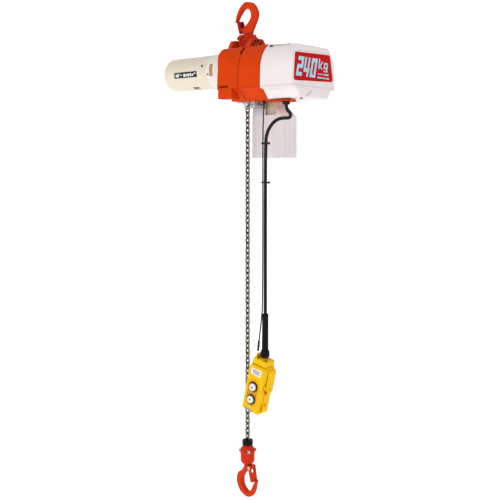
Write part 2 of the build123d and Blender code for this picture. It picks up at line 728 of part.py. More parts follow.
def block_half(side):
    """One half of the load block, on the side of Y that side says."""
    with BuildSketch(Plane.XZ) as section:
        with BuildLine():
            Polyline(*block_profile, close=True)
        make_face()
    revolve(section.sketch, axis=Axis.Z)
    post(-1060, bumper_top, 7.3, mode=Mode.SUBTRACT)
    post(-1077.5, -1066.5, 10.6, mode=Mode.SUBTRACT)
    post(block_bottom - 1, -1077, hook_half + 0.3, mode=Mode.SUBTRACT)
    disc(-12, 12, end_pin_radius + 0.03, 0, end_pin_z, mode=Mode.SUBTRACT)
    for x in (-block_bolt_x, block_bolt_x):
        stud(-20, 20, 2.55, x, block_bolt_z, mode=Mode.SUBTRACT)
        stud(-20, -10.5, 4.4, x, block_bolt_z, mode=Mode.SUBTRACT)
        stud(10.5, 20, 4.4, x, block_bolt_z, mode=Mode.SUBTRACT)
    near, far = sorted((side * 0.1, side * -30))
    block((-30, near, -1100), (30, far, -1030), mode=Mode.SUBTRACT)


with BuildPart() as hook_block_front:
    block_half(-1)
save(hook_block_front.part, "hook_block_front")

with BuildPart() as hook_block_rear:
    block_half(1)
save(hook_block_rear.part, "hook_block_rear")

with BuildPart() as hook_block_bolts:
    for x in (-block_bolt_x, block_bolt_x):
        face = Plane(origin=(x, -10.5, block_bolt_z), x_dir=(1, 0, 0), z_dir=(0, -1, 0))
        cap_screw(face, 2.5, 4.1, 21, 3.6)
        stud(10.5, 13.5, 4.1, x, block_bolt_z)
    disc(-11.5, 11.5, end_pin_radius, 0, end_pin_z)
save(hook_block_bolts.part, "hook_block_bolts")

# load hook, seen along Y, and its latch
load_outer = [(-12, -1104), (-27, -1114), (-31.5, -1130), (-28, -1146), (-15, -1162), (2, -1168),
              (17, -1162), (25.5, -1148), (28.5, -1134)]
load_tip = (31.5, -1122.5)
load_inner = [(21.5, -1132), (16.5, -1143), (11, -1151.5), (2.5, -1154.5), (-6, -1149.5),
              (-13, -1136), (-12, -1124), (-3, -1110), (5, -1103.5)]
load_pivot = (12.5, -1095.5)
with BuildPart() as load_hook:
    with BuildSketch(Plane.XZ.offset(-hook_half)):
        with BuildLine():
            Spline(*load_outer, load_tip)
            ThreePointArc(load_tip, (26.5, -1124.5), load_inner[0])
            Spline(*load_inner)
            Polyline(load_inner[-1], (14, -1101.5), (18.5, -1096), (15.5, -1090.5), (-8, -1090.5),
                     load_outer[0])
        make_face()
    extrude(amount=2 * hook_half)
    fillet(load_hook.edges().filter_by(Plane.XZ), 2.5)
    post(-1092, -1076, hook_half)
    post(-1076.6, -1068, 10.0)
    stud(-hook_half, hook_half, 2.55, *load_pivot, mode=Mode.SUBTRACT)
save(load_hook.part, "load_hook")

with BuildPart() as load_hook_latch:
    latch_solid(load_pivot, -10, 33, hook_half + 0.4, hook_half + 2.0, 1, -1)
save(load_hook_latch.part, "load_hook_latch")

with BuildPart() as load_latch_pin:
    latch_pin_solid(load_pivot)
save(load_latch_pin.part, "load_latch_pin")

# ---------------------------------------------------------------- pendant
# Its own frame: x to the right across the front, y up along its length, z out of the front.
tilt = radians(pendant_tilt)
pendant = Plane(origin=pendant_top, x_dir=(cos(tilt), 0, -sin(tilt)), z_dir=(0, -1, 0))
front_z, rear_z, grip_z = 22.0, -22.0, -17.0
pendant_half = 23.0
cap_half = 18.5
body_top, body_foot = -19.0, -129.5
shell_thick = 2.5
button_up, button_down = -69.5, -99.5
button_x = 0.5


def pendant_face(inset=0.0):
    """The front view of the pendant's shells."""
    w, i = pendant_half, inset
    with BuildLine() as rim:
        Polyline((-cap_half + i, body_top - i), (cap_half - i, body_top - i), (w - i, body_top - 8 - i),
                 (w - i, body_foot + i), (-w + i, body_foot + i), (-w + i, body_top - 8 - i),
                 (-cap_half + i, body_top - i))
    make_face(rim.edges())


def pendant_slab(z0, z1, inset=0.0, mode=Mode.ADD):
    with BuildSketch(pendant.offset(z0)) as face:
        pendant_face(inset)
    extrude(face.sketch, amount=z1 - z0, mode=mode)


def pendant_block(low, high, mode=Mode.ADD):
    """A box between two corners, in the pendant's frame."""
    with BuildSketch(pendant.offset(low[2])) as face:
        with Locations(((low[0] + high[0]) / 2, (low[1] + high[1]) / 2)):
            Rectangle(high[0] - low[0], high[1] - low[1])
    extrude(face.sketch, amount=high[2] - low[2], mode=mode)


def pendant_disc(z0, z1, radius, x, y, mode=Mode.ADD):
    """A round piece square to the pendant's front."""
    with BuildSketch(pendant.offset(z0)) as face:
        with Locations((x, y)):
            Circle(radius)
    extrude(face.sketch, amount=z1 - z0, mode=mode)


pendant_split = 4.0
with BuildPart() as pendant_front_shell:
    pendant_slab(pendant_split, front_z)
    fillet(pendant_front_shell.edges().group_by(Axis.Y)[0], 3)
    pendant_slab(pendant_split - 1, front_z - shell_thick, shell_thick, Mode.SUBTRACT)
    for y in (button_up, button_down):
        pendant_disc(front_z - 5, front_z + 1, 11.2, button_x, y, Mode.SUBTRACT)
save(pendant_front_shell.part, "pendant_front_shell")

with BuildPart() as pendant_rear_shell:
    pendant_slab(grip_z, pendant_split - 0.2)
    pendant_block((-pendant_half, -72, rear_z), (pendant_half, body_top - 8, grip_z + 1))
    pendant_block((-pendant_half + 6, body_foot, rear_z + 1), (pendant_half - 6, body_foot + 12, grip_z + 1))
    fillet(pendant_rear_shell.edges().group_by(Axis.Y)[-1], 3)
    pendant_slab(grip_z + shell_thick, pendant_split + 1, shell_thick, Mode.SUBTRACT)
    # finger guard on the right side
    pendant_block((pendant_half - 1, -74, -16), (pendant_half + 5, -70, 3))
save(pendant_rear_shell.part, "pendant_rear_shell")

with BuildPart() as pendant_cap:
    pendant_block((-cap_half, body_top + 0.2, grip_z + 1), (cap_half, -4, front_z - 3))
    fillet(pendant_cap.edges(), 2)
    with BuildSketch(Plane(origin=pendant_top, z_dir=pendant.y_dir).offset(-5)) as boss:
        Circle(10.5)
    extrude(boss.sketch, amount=2.5)
    pendant_block((-cap_half - 2, -16, -6), (-cap_half + 6, 2, 6))
    pendant_block((-cap_half + 2.5, -8, -3), (-cap_half + 4.5, 4, 3), Mode.SUBTRACT)
    pendant_disc(-7, 7, 2.2, -cap_half + 2, -2, Mode.SUBTRACT)
    with BuildSketch(Plane(origin=pendant_top, z_dir=pendant.y_dir).offset(-25)) as bore:
        Circle(6.9)
    extrude(bore.sketch, amount=30, mode=Mode.SUBTRACT)
save(pendant_cap.part, "pendant_cap")


def button_solid(y):
    """A push button: its face, its stem and the collar that keeps it in."""
    pendant_disc(front_z - 4.0, front_z + 6.5, 8.4, button_x, y)
    pendant_disc(front_z - 14.0, front_z - 4.0, 3.4, button_x, y)


for name, y in (("up_button", button_up), ("down_button", button_down)):
    with BuildPart() as button:
        button_solid(y)
        fillet(button.edges().group_by(Axis.Y)[0], 1.5)
    save(button.part, name)

with BuildPart() as button_rings:
    for y in (button_up, button_down):
        pendant_disc(front_z - 3.5, front_z + 2.2, 11.1, button_x, y)
        pendant_disc(front_z - 4, front_z + 3, 8.8, button_x, y, Mode.SUBTRACT)
save(button_rings.part, "button_rings")

with BuildPart() as switch_block:
    pendant_block((-14, -112, -10), (14, -57, front_z - 19))
    for y in (button_up, button_down):
        pendant_block((button_x - 6, y - 6, front_z - 19.5), (button_x + 6, y + 6, front_z - 18.2))
save(switch_block.part, "switch_block")

# ---------------------------------------------------------------- cable, wire rope and fittings
cable_x, cable_y = 84.5, -37.0
along_view = Vector(cos(radians(40)), sin(radians(40)), 0)


def beside(distance, z, depth=0.0):
    """A point at a distance to the right of the hanging cable, seen from the front right."""
    return Vector(cable_x, cable_y, z) + along_view * distance + Vector(0.643, -0.766, 0) * depth


cable_route = [
    (138.0, -28.0, -236.8), (138.6, -27.5, -248), (147.1, -22.8, -257), (141.8, -18.1, -267),
    (126.7, -20.3, -266.5), (112.0, -26.1, -268.5), (98.3, -32.4, -281), (88.1, -35.7, -300),
    (84.6, -37.0, -325), (84.5, -37.0, -700), (84.4, -37.1, -756), (84.0, -37.4, -812),
]


def corner_radii(points):
    """The largest arc that fits each corner of a route."""
    out = []
    for a, b, c in zip(points, points[1:], points[2:]):
        before, after = Vector(*b) - Vector(*a), Vector(*c) - Vector(*b)
        turn = before.get_angle(after)
        out.append(0.45 * min(before.length, after.length) / tan(radians(turn / 2)))
    return out


def cord(points, radius, name):
    """A round cord along a route, with its radii and its volume printed."""
    radii = corner_radii(points)
    with BuildPart() as tube:
        with BuildLine() as path:
            FilletPolyline(*points, radius=radii)
        with BuildSketch(Plane(origin=points[0], z_dir=path.wires()[0] % 0)):
            Circle(radius)
        sweep(path=path.wires()[0])
    length = path.wires()[0].length
    print(name, "radii", [round(r, 1) for r in radii], "length", round(length, 1),
          "volume ratio", round(tube.part.volume / (pi * radius ** 2 * length), 4))
    save(tube.part, name)
    return path.wires()[0]


cord(cable_route, cable_radius, "pendant_cable")

rope_gap = cable_radius + rope_radius + 0.3
rope_route = [
    tuple(beside(-3, -233, -6)), tuple(beside(-4.6, -264, -2.5)), tuple(beside(-rope_gap, -304)),
    tuple(beside(-rope_gap, -694)), tuple(beside(-9.2, -732)), tuple(beside(-13, -765)),
    tuple(beside(-16.3, -796)),
]
cord(rope_route, rope_radius, "strain_rope")


def sleeve(low, high, radius, bore=0.0, mode=Mode.ADD):
    """A round sleeve between two points, with a bore along it."""
    along = Vector(*high) - Vector(*low)
    end = Plane(origin=low, z_dir=along)
    with BuildSketch(end) as face:
        Circle(radius)
        if bore:
            Circle(bore, mode=Mode.SUBTRACT)
    extrude(face.sketch, amount=along.length, mode=mode)


with BuildPart() as rope_ferrules:
    sleeve(beside(-3, -233, -6), beside(-3, -224.6, -6), 3.2)
    foot = Vector(*rope_route[-1])
    way = (foot - Vector(*rope_route[-2])).normalized()
    sleeve(foot - way * 18, foot - way * 1, 2.6, rope_radius + 0.02)
    sleeve(foot, foot + way * 5, 2.6)
save(rope_ferrules.part, "rope_ferrules")

tie_levels = (-326.0, -416.0)
with BuildPart() as cable_ties:
    for z in tie_levels:
        middle = beside(-1.6, z)
        with BuildSketch(Plane(origin=middle, x_dir=along_view, z_dir=(0, 0, 1))) as band:
            SlotOverall(16.2, 11.0)
            SlotOverall(14.2, 9.0, mode=Mode.SUBTRACT)
        extrude(band.sketch, amount=3.6)
        with BuildSketch(Plane(origin=middle, x_dir=along_view, z_dir=(0, 0, 1)).offset(-0.8)) as head:
            with Locations((10.2, 0)):
                Rectangle(4.6, 5.4)
        extrude(head.sketch, amount=5.2)
save(cable_ties.part, "cable_ties")

# soft sleeve over the cable where it enters the pendant, and its wider collar
with BuildPart() as pendant_boot:
    top, foot = Vector(cable_x, cable_y, -716.5), Vector(84.05, -37.35, -800.0)
    way = (foot - top).normalized()
    for start, stop, r0, r1 in ((0, 83, 5.8, 6.9), (83, 98, 8.4, 10.0)):
        with BuildSketch(Plane(origin=top + way * start, z_dir=way)) as narrow:
            Circle(r0)
        with BuildSketch(Plane(origin=top + way * stop, z_dir=way)) as wide:
            Circle(r1)
        loft(narrow.sketch.faces() + wide.sketch.faces())
    for k in range(5):
        sleeve(top + way * (8 + 6 * k), top + way * (10 + 6 * k), 7.2)
    sleeve(top - way * 2, top + way * 100, cable_radius + 0.03, mode=Mode.SUBTRACT)
save(pendant_boot.part, "pendant_boot")

# small screws of the control box, the motor and the pendant
with BuildPart() as small_screws:
    cap_screw(Plane(origin=(109, -44.5, -104.7), x_dir=(1, 0, 0), z_dir=(0, -0.684, 0.730)),
              1.9, 3.6, 2.4, 2.4)
    cap_screw(Plane(origin=(178, -24.0, -223.2), x_dir=(1, 0, 0), z_dir=(0, 0, -1)), 1.9, 3.6, 3, 2.4)
    for x, rise, head in ((-129.5, 12.2, 2.6), (-108.7, -9.6, 2.2)):
        depth = (motor_radius ** 2 - rise ** 2) ** 0.5
        cap_screw(Plane(origin=(x, axis_y - depth, axis_z + rise), x_dir=(1, 0, 0), z_dir=(0, -depth, rise)),
                  1.2, head, 2, 1.6)
    for x in (-cap_half + 5, cap_half - 5):
        cap_screw(Plane(origin=pendant.from_local_coords((x + 5 * (x < 0), -4, 12)),
                        x_dir=pendant.x_dir, z_dir=pendant.y_dir), 1.4, 2.5, 3, 1.2)
save(small_screws.part, "small_screws")
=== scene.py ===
import bpy, bmesh, math
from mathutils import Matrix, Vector


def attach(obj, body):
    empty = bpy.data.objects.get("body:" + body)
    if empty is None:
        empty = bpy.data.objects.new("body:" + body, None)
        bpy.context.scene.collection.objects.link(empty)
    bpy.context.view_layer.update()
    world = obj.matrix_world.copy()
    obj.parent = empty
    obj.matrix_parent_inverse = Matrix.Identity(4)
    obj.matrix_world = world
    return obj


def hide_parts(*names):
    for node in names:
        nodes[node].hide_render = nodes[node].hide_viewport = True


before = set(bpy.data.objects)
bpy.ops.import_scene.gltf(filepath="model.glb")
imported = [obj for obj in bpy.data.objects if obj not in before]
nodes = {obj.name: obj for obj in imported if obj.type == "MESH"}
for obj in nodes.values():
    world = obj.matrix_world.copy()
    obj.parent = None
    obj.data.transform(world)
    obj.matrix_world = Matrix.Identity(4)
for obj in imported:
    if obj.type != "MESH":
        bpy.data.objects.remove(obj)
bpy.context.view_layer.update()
MM = 0.001
scene = bpy.context.scene
scene.view_settings.view_transform = "Standard"

# ------------------------------------------------------------------ camera
turn = math.radians(40)
distance = 2.0
aside = 0.0057
cam_data = bpy.data.cameras.new("camera")
cam = bpy.data.objects.new("camera", cam_data)
scene.collection.objects.link(cam)
eye_height = -0.374
cam.location = (distance * math.sin(turn) + aside * math.cos(turn),
                -distance * math.cos(turn) + aside * math.sin(turn), eye_height)
cam.rotation_euler = (math.radians(90), 0, turn)
cam_data.lens = 60.05
cam_data.sensor_width = 36
cam_data.shift_y = -0.17
scene.camera = cam


# ------------------------------------------------------------------ materials
def material(name, colour, rough=0.5, metal=0.0, coat=0.0, vary=0.06, vary_scale=30.0, grain=0.0,
             grain_scale=900.0, edge_shade=None, edge_shade_width=0.0008, rough_vary=0.08, streak=None,
             spec=0.2, sub=0.0, occlusion_shade=0.0, soft_edge=0.0, glow=0.0):
    """A procedural surface: mottled colour, fine grain, uneven roughness, painted shade on rounded edges and
    painted shade in corners and recesses.
    """
    m = bpy.data.materials.new(name)
    m.use_nodes = True
    nt = m.node_tree
    n, link = nt.nodes, nt.links.new
    n.clear()
    out = n.new("ShaderNodeOutputMaterial")
    b = n.new("ShaderNodeBsdfPrincipled")
    link(b.outputs["BSDF"], out.inputs["Surface"])
    b.inputs["Metallic"].default_value = metal
    b.inputs["Coat Weight"].default_value = coat
    b.inputs["Coat Roughness"].default_value = 0.12
    b.inputs["Specular IOR Level"].default_value = spec
    if sub:
        b.inputs["Subsurface Weight"].default_value = sub
        b.inputs["Subsurface Scale"].default_value = 0.004
    if glow:
        b.inputs["Emission Color"].default_value = (1, 1, 1, 1)
        b.inputs["Emission Strength"].default_value = glow
    where = n.new("ShaderNodeTexCoord")
    stretch = n.new("ShaderNodeMapping")
    if streak:
        stretch.inputs["Scale"].default_value = streak
    link(where.outputs["Object"], stretch.inputs["Vector"])
    cloud = n.new("ShaderNodeTexNoise")
    cloud.inputs["Scale"].default_value = vary_scale
    cloud.inputs["Detail"].default_value = 4
    link(stretch.outputs["Vector"], cloud.inputs["Vector"])
    ramp = n.new("ShaderNodeValToRGB")
    ramp.color_ramp.elements[0].position = 0.25
    ramp.color_ramp.elements[1].position = 0.75
    low = [max(0.0, c * (1 - vary)) for c in colour]
    high = [min(1.0, c * (1 + vary * 0.6)) for c in colour]
    ramp.color_ramp.elements[0].color = (*low, 1)
    ramp.color_ramp.elements[1].color = (*high, 1)
    link(cloud.outputs["Fac"], ramp.inputs["Fac"])
    tone = ramp.outputs["Color"]
    # painted shade: rounded edges are mixed towards a darker red, broken up by noise
    if edge_shade:
        soft = n.new("ShaderNodeBevel")
        soft.samples = 4
        soft.inputs["Radius"].default_value = edge_shade_width
        geo = n.new("ShaderNodeNewGeometry")
        dot = n.new("ShaderNodeVectorMath")
        dot.operation = "DOT_PRODUCT"
        link(soft.outputs["Normal"], dot.inputs[0])
        link(geo.outputs["Normal"], dot.inputs[1])
        edge = n.new("ShaderNodeMapRange")
        edge.inputs["From Min"].default_value = 0.99
        edge.inputs["From Max"].default_value = 0.86
        link(dot.outputs["Value"], edge.inputs["Value"])
        edge_noise = n.new("ShaderNodeTexNoise")
        edge_noise.inputs["Scale"].default_value = 260
        edge_noise.inputs["Detail"].default_value = 3
        link(where.outputs["Object"], edge_noise.inputs["Vector"])
        edge_breakup = n.new("ShaderNodeMapRange")
        edge_breakup.inputs["From Min"].default_value = 0.35
        edge_breakup.inputs["From Max"].default_value = 0.6
        edge_breakup.inputs["To Min"].default_value = 0.35
        link(edge_noise.outputs["Fac"], edge_breakup.inputs["Value"])
        amount = n.new("ShaderNodeMath")
        amount.operation = "MULTIPLY"
        link(edge.outputs["Result"], amount.inputs[0])
        link(edge_breakup.outputs["Result"], amount.inputs[1])
        mix = n.new("ShaderNodeMix")
        mix.data_type = "RGBA"
        link(amount.outputs["Value"], mix.inputs["Factor"])
        link(tone, mix.inputs["A"])
        mix.inputs["B"].default_value = (*edge_shade, 1)
        tone = mix.outputs["Result"]
    # painted shade: where ambient occlusion finds nearby surfaces, in corners, creases and recesses, the
    # colour is mixed towards a darker copy of itself
    if occlusion_shade:
        ao = n.new("ShaderNodeAmbientOcclusion")
        ao.samples = 4
        ao.inputs["Distance"].default_value = 0.006
        shade = n.new("ShaderNodeMapRange")
        shade.inputs["From Min"].default_value = 0.2
        shade.inputs["From Max"].default_value = 0.8
        shade.inputs["To Min"].default_value = occlusion_shade
        shade.inputs["To Max"].default_value = 0.0
        link(ao.outputs["AO"], shade.inputs["Value"])
        painted_shade = n.new("ShaderNodeMix")
        painted_shade.data_type = "RGBA"
        link(shade.outputs["Result"], painted_shade.inputs["Factor"])
        link(tone, painted_shade.inputs["A"])
        painted_shade.inputs["B"].default_value = (*[c * 0.35 for c in colour], 1)
        tone = painted_shade.outputs["Result"]
    link(tone, b.inputs["Base Color"])
    shine = n.new("ShaderNodeMapRange")
    shine.inputs["To Min"].default_value = max(0.02, rough - rough_vary)
    shine.inputs["To Max"].default_value = min(1.0, rough + rough_vary)
    link(cloud.outputs["Fac"], shine.inputs["Value"])
    link(shine.outputs["Result"], b.inputs["Roughness"])
    rounded = None
    if soft_edge:
        rounded = n.new("ShaderNodeBevel")
        rounded.samples = 6
        rounded.inputs["Radius"].default_value = soft_edge
        if not grain:
            link(rounded.outputs["Normal"], b.inputs["Normal"])
    if grain:
        fine = n.new("ShaderNodeTexNoise")
        fine.inputs["Scale"].default_value = grain_scale
        fine.inputs["Detail"].default_value = 3
        link(stretch.outputs["Vector"], fine.inputs["Vector"])
        bump = n.new("ShaderNodeBump")
        bump.inputs["Strength"].default_value = grain
        bump.inputs["Distance"].default_value = 0.0004
        link(fine.outputs["Fac"], bump.inputs["Height"])
        if rounded:
            link(rounded.outputs["Normal"], bump.inputs["Normal"])
        link(bump.outputs["Normal"], b.inputs["Normal"])
    return m


ORANGE = (0.64, 0.047, 0.0004)
MAT = {
    "orange": material("orange_paint", ORANGE, 0.5, spec=0.06, vary=0.05, grain=0.2, grain_scale=700,
                       edge_shade=(0.46, 0.002, 0.001), edge_shade_width=0.005, occlusion_shade=0.6, soft_edge=0.0016),
    "hook": material("hook_paint", (0.62, 0.034, 0.0004), 0.42, spec=0.1, vary=0.10, vary_scale=60,
                     grain=0.3, grain_scale=420, edge_shade=(0.40, 0.004, 0.002), edge_shade_width=0.0026, occlusion_shade=0.55),
    "latch": material("latch_paint", (0.36, 0.005, 0.003), 0.4, spec=0.1, vary=0.12, grain=0.2, occlusion_shade=0.5),
    "block": material("block_paint", (0.58, 0.022, 0.001), 0.42, spec=0.12, vary=0.08, grain=0.22,
                      grain_scale=500, edge_shade=(0.30, 0.003, 0.002), edge_shade_width=0.0020, occlusion_shade=0.55,
                      soft_edge=0.001),
    "cream": material("motor_cream", (0.72, 0.65, 0.52), 0.36, coat=0.06, vary=0.03, grain=0.1,
                      grain_scale=600, occlusion_shade=0.4),
    "flange": material("flange_white", (0.76, 0.73, 0.67), 0.42, vary=0.03, grain=0.1, occlusion_shade=0.45),
    "cover": material("cover_white", (0.80, 0.735, 0.72), 0.38, vary=0.02, grain=0.12,
                      grain_scale=650, occlusion_shade=0.5, soft_edge=0.0025),
    "bin": material("bin_plastic", (0.74, 0.69, 0.70), 0.46, vary=0.03, grain=0.16, sub=0.1, occlusion_shade=0.4,
                    soft_edge=0.0015),
    "steel": material("zinc_steel", (0.52, 0.52, 0.50), 0.28, metal=1.0, vary=0.2, vary_scale=90,
                      grain=0.15, occlusion_shade=0.5),
    "chain": material("chain_steel", (0.22, 0.19, 0.16), 0.24, metal=1.0, vary=0.5, vary_scale=170,
                      rough_vary=0.14, grain=0.3, grain_scale=700, occlusion_shade=0.85),
    "machined": material("machined_steel", (0.42, 0.42, 0.43), 0.33, metal=1.0, vary=0.12,
                         streak=(1, 12, 12), grain=0.2),
    "cast": material("cast_iron", (0.10, 0.10, 0.105), 0.6, metal=0.7, vary=0.2, grain=0.5, grain_scale=500),
    "core": material("core_steel", (0.20, 0.20, 0.21), 0.45, metal=1.0, vary=0.1, streak=(60, 1, 1),
                     grain=0.3),
    "copper": material("copper_wire", (0.72, 0.28, 0.10), 0.3, metal=1.0, vary=0.25, streak=(1, 30, 30),
                       grain=0.5),
    "rubber": material("black_rubber", (0.003, 0.003, 0.004), 0.5, spec=0.12, vary=0.2, grain=0.2,
                       grain_scale=1200),
    "cable": material("cable_sheath", (0.003, 0.005, 0.005), 0.36, vary=0.2, grain=0.12, spec=0.2),
    "moulding": material("black_moulding", (0.010, 0.010, 0.011), 0.55, vary=0.15, grain=0.3),
    "lining": material("brake_lining", (0.05, 0.04, 0.03), 0.8, vary=0.3, grain=0.6),
    "tan": material("brush_cap_tan", (0.42, 0.26, 0.13), 0.45, vary=0.12, grain=0.2, occlusion_shade=0.4),
    "board": material("board_green", (0.012, 0.12, 0.04), 0.4, vary=0.3, vary_scale=200),
    "button": material("button_white", (0.76, 0.75, 0.74), 0.3, coat=0.15, vary=0.04, grain=0.1, occlusion_shade=0.4),
    "yellow": material("pendant_yellow", (0.86, 0.50, 0.0004), 0.4, spec=0.1, vary=0.05, grain=0.15,
                       grain_scale=700, sub=0.03, occlusion_shade=0.7, soft_edge=0.0022),
    "screw": material("dark_screw", (0.10, 0.085, 0.05), 0.35, metal=1.0, vary=0.2, grain=0.2, occlusion_shade=0.5),
    "rope": material("rope_dark", (0.006, 0.012, 0.010), 0.42, vary=0.3, grain=0.4, grain_scale=1500),
    "label": material("label_red", (0.50, 0.001, 0.0015), 0.4, spec=0.08, vary=0.05, vary_scale=60,
                      grain=0.05),
    "digit": material("label_pale", (0.36, 0.64, 0.78), 0.4, vary=0.03, grain=0.05),
    "white_print": material("print_white", (0.84, 0.82, 0.82), 0.4, vary=0.03, grain=0.05),
    "black_print": material("print_black", (0.006, 0.006, 0.006), 0.4, vary=0.1, grain=0.05),
    # painted shade: a darker red than the orange, for the shaded rib
    "rib": material("rib_shade_red", (0.50, 0.008, 0.002), 0.4, coat=0.05, vary=0.08, grain=0.15, occlusion_shade=0.4),
    # painted shade: a near black for pockets and slits in shade
    "pocket": material("pocket_shade_dark", (0.004, 0.007, 0.004), 0.7, vary=0.3, grain=0.3),
    # painted shade: a beige for grooves and openings in shade on the white plastic
    "beige_shade": material("beige_painted_shade", (0.60, 0.54, 0.44), 0.45, vary=0.05, grain=0.15, occlusion_shade=0.4),
    "yellow_dark": material("yellow_shadow", (0.62, 0.30, 0.001), 0.45, vary=0.1, grain=0.15, occlusion_shade=0.5),
    "grey_plate": material("grey_blue_plate", (0.30, 0.36, 0.42), 0.4, vary=0.1, grain=0.1),
}
LOOK = {
    "bottom_plate": "orange", "brake_armature": "machined", "brake_coil": "moulding", "brake_disc": "lining",
    "brush_gear": "moulding", "brush_window": "tan", "button_rings": "rubber", "cable_gland": "moulding",
    "cable_ties": "moulding", "chain_container": "bin", "chain_guide": "steel", "chain_on_sheave": "chain",
    "circuit_board": "board", "control_cover": "cover", "countershaft": "machined", "down_button": "button",
    "first_stage_gear": "machined", "gear_side_housing": "orange", "hook_block_bolts": "steel",
    "hook_block_front": "block", "hook_block_rear": "block", "hook_bumper": "rubber", "hook_yoke": "hook",
    "housing_bolts": "hook", "limit_lever": "steel", "load_chain_end": "chain", "load_gear": "machined",
    "load_hook": "hook", "load_hook_latch": "hook", "load_latch_pin": "steel", "load_sheave": "cast",
    "motor_fan": "moulding", "motor_flange": "flange", "motor_shell": "cream", "motor_side_housing": "orange",
    "pendant_boot": "rubber", "pendant_cable": "cable", "pendant_cap": "yellow",
    "pendant_front_shell": "yellow", "pendant_rear_shell": "yellow", "rope_ferrules": "rope",
    "rotor_core": "core", "rotor_shaft": "machined",
    "shaft_bearings": "steel", "small_screws": "screw", "stator_core": "core", "stator_windings": "copper",
    "strain_rope": "rope", "switch_block": "moulding", "top_hook": "hook", "top_hook_latch": "latch",
    "top_latch_pin": "latch", "up_button": "button",
}
for k in range(1, 8):
    LOOK[f"load_chain_{k}"] = "chain"

for node, look in LOOK.items():
    ob = nodes[node]
    ob.data.materials.clear()
    ob.data.materials.append(MAT[look])


# ------------------------------------------------------------------ making pieces
def new_piece(name, bm, look, body, smooth=True, bevel_width=0.0):
    """A new object from bm, which rides on the named body and wears the named slot."""
    bmesh.ops.recalc_face_normals(bm, faces=bm.faces)
    mesh = bpy.data.meshes.new(name)
    bm.to_mesh(mesh)
    bm.free()
    if smooth:
        for p in mesh.polygons:
            p.use_smooth = True
    ob = bpy.data.objects.new(name, mesh)
    scene.collection.objects.link(ob)
    mesh.materials.append(MAT[look])
    if bevel_width:
        mod = ob.modifiers.new("edges", "BEVEL")
        mod.width = bevel_width * MM
        mod.segments = 3
        mod.limit_method = "ANGLE"
        mod.angle_limit = math.radians(40)
    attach(ob, body)
    return ob


def curve_through(points, t):
    """A Catmull-Rom curve through a list of points."""
    n = len(points) - 1
    i = min(int(t * n), n - 1)
    u = t * n - i
    p = [Vector(points[max(0, min(n, i + k))]) for k in (-1, 0, 1, 2)]
    return 0.5 * ((2 * p[1]) + (p[2] - p[0]) * u + (2 * p[0] - 5 * p[1] + 4 * p[2] - p[3]) * u * u
                  + (3 * p[1] - p[0] - 3 * p[2] + p[3]) * u ** 3)


def circle(radius, count):
    """Points evenly round a circle about zero, as (x, y) pairs."""
    angles = [2 * math.pi * k / count for k in range(count)]
    return [(radius * math.cos(a), radius * math.sin(a)) for a in angles]


def ring_loft(bm, rings, cap_start=True, cap_end=True):
    """A skin over a row of rings that have the same number of points."""
    made = [[bm.verts.new(p) for p in ring] for ring in rings]
    count = len(made[0])
    for a, b in zip(made, made[1:]):
        for i in range(count):
            j = (i + 1) % count
            bm.faces.new((a[i], a[j], b[j], b[i]))
    if cap_start:
        bm.faces.new(made[0][::-1])
    if cap_end:
        bm.faces.new(made[-1])


def forged_hook(name, outer, inner, half, tip_half, tip_first, neck, body):
    """A drop forged hook: flat faced sections with rounded rims between an outer and an inner curve."""
    bm = bmesh.new()
    rings = []
    steps = 9 * (len(outer) - 1)
    around = 28
    squareness = 0.52
    for s in range(steps + 1):
        t = s / steps
        o = curve_through([(x, 0, z) for x, z in outer], t)
        i = curve_through([(x, 0, z) for x, z in inner], t)
        near_tip = t if tip_first else 1 - t
        h = tip_half + (half - tip_half) * min(1.0, near_tip / 0.30) ** 0.6
        mid, arm = (o + i) / 2, (o - i) / 2
        ring = []
        for k in range(around):
            a = 2 * math.pi * k / around
            c, w = math.cos(a), math.sin(a)
            u = math.copysign(abs(c) ** squareness, c)
            v = math.copysign(abs(w) ** squareness, w)
            ring.append((mid + arm * u + Vector((0, h * v * (1 - 0.10 * u), 0))) * MM)
        rings.append(ring)

    def closing(ring, away):
        centre = sum(ring, Vector()) / len(ring)
        return [[centre + (p - centre) * f + away * g * MM for p in ring] for f, g in
                ((0.93, 1.1), (0.75, 2.2), (0.45, 3.0), (0.12, 3.3))]
    if tip_first:
        away = (rings[0][0] - rings[3][0]).normalized()
        rings = closing(rings[0], away)[::-1] + rings
    else:
        away = (rings[-1][0] - rings[-4][0]).normalized()
        rings = rings + closing(rings[-1], away)
    ring_loft(bm, rings)
    for low, high, radius in neck:
        turned = []
        for z, r in ((low, radius - 0.6), (low + 0.6, radius), (high - 0.6, radius), (high, radius - 0.6)):
            turned.append([Vector((x, y, z)) * MM for x, y in circle(r, 32)])
        ring_loft(bm, turned)
    return new_piece(name, bm, "hook", body)


top_outer = [(-37, -28), (-31.5, -12), (-24, 2), (-14, 11.8), (-2, 17), (20, 11), (33, -9), (32.5, -24),
             (24, -42), (17.5, -55), (15.5, -61)]
top_inner = [(-28.5, -25.5), (-24.6, -18.5), (-19.5, -11), (-10.5, -1.6), (0, 0.6), (9, -4.6), (13.5, -15),
             (10.5, -27), (1, -37), (-15, -48.5), (-20.5, -58)]
hook_up = forged_hook("forged_top_hook", top_outer, top_inner, 7.0, 4.6, True,
                      [(-66.5, -60.5, 7.0), (-75.5, -66.5, 9.0)], "hook_top")
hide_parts("top_hook")

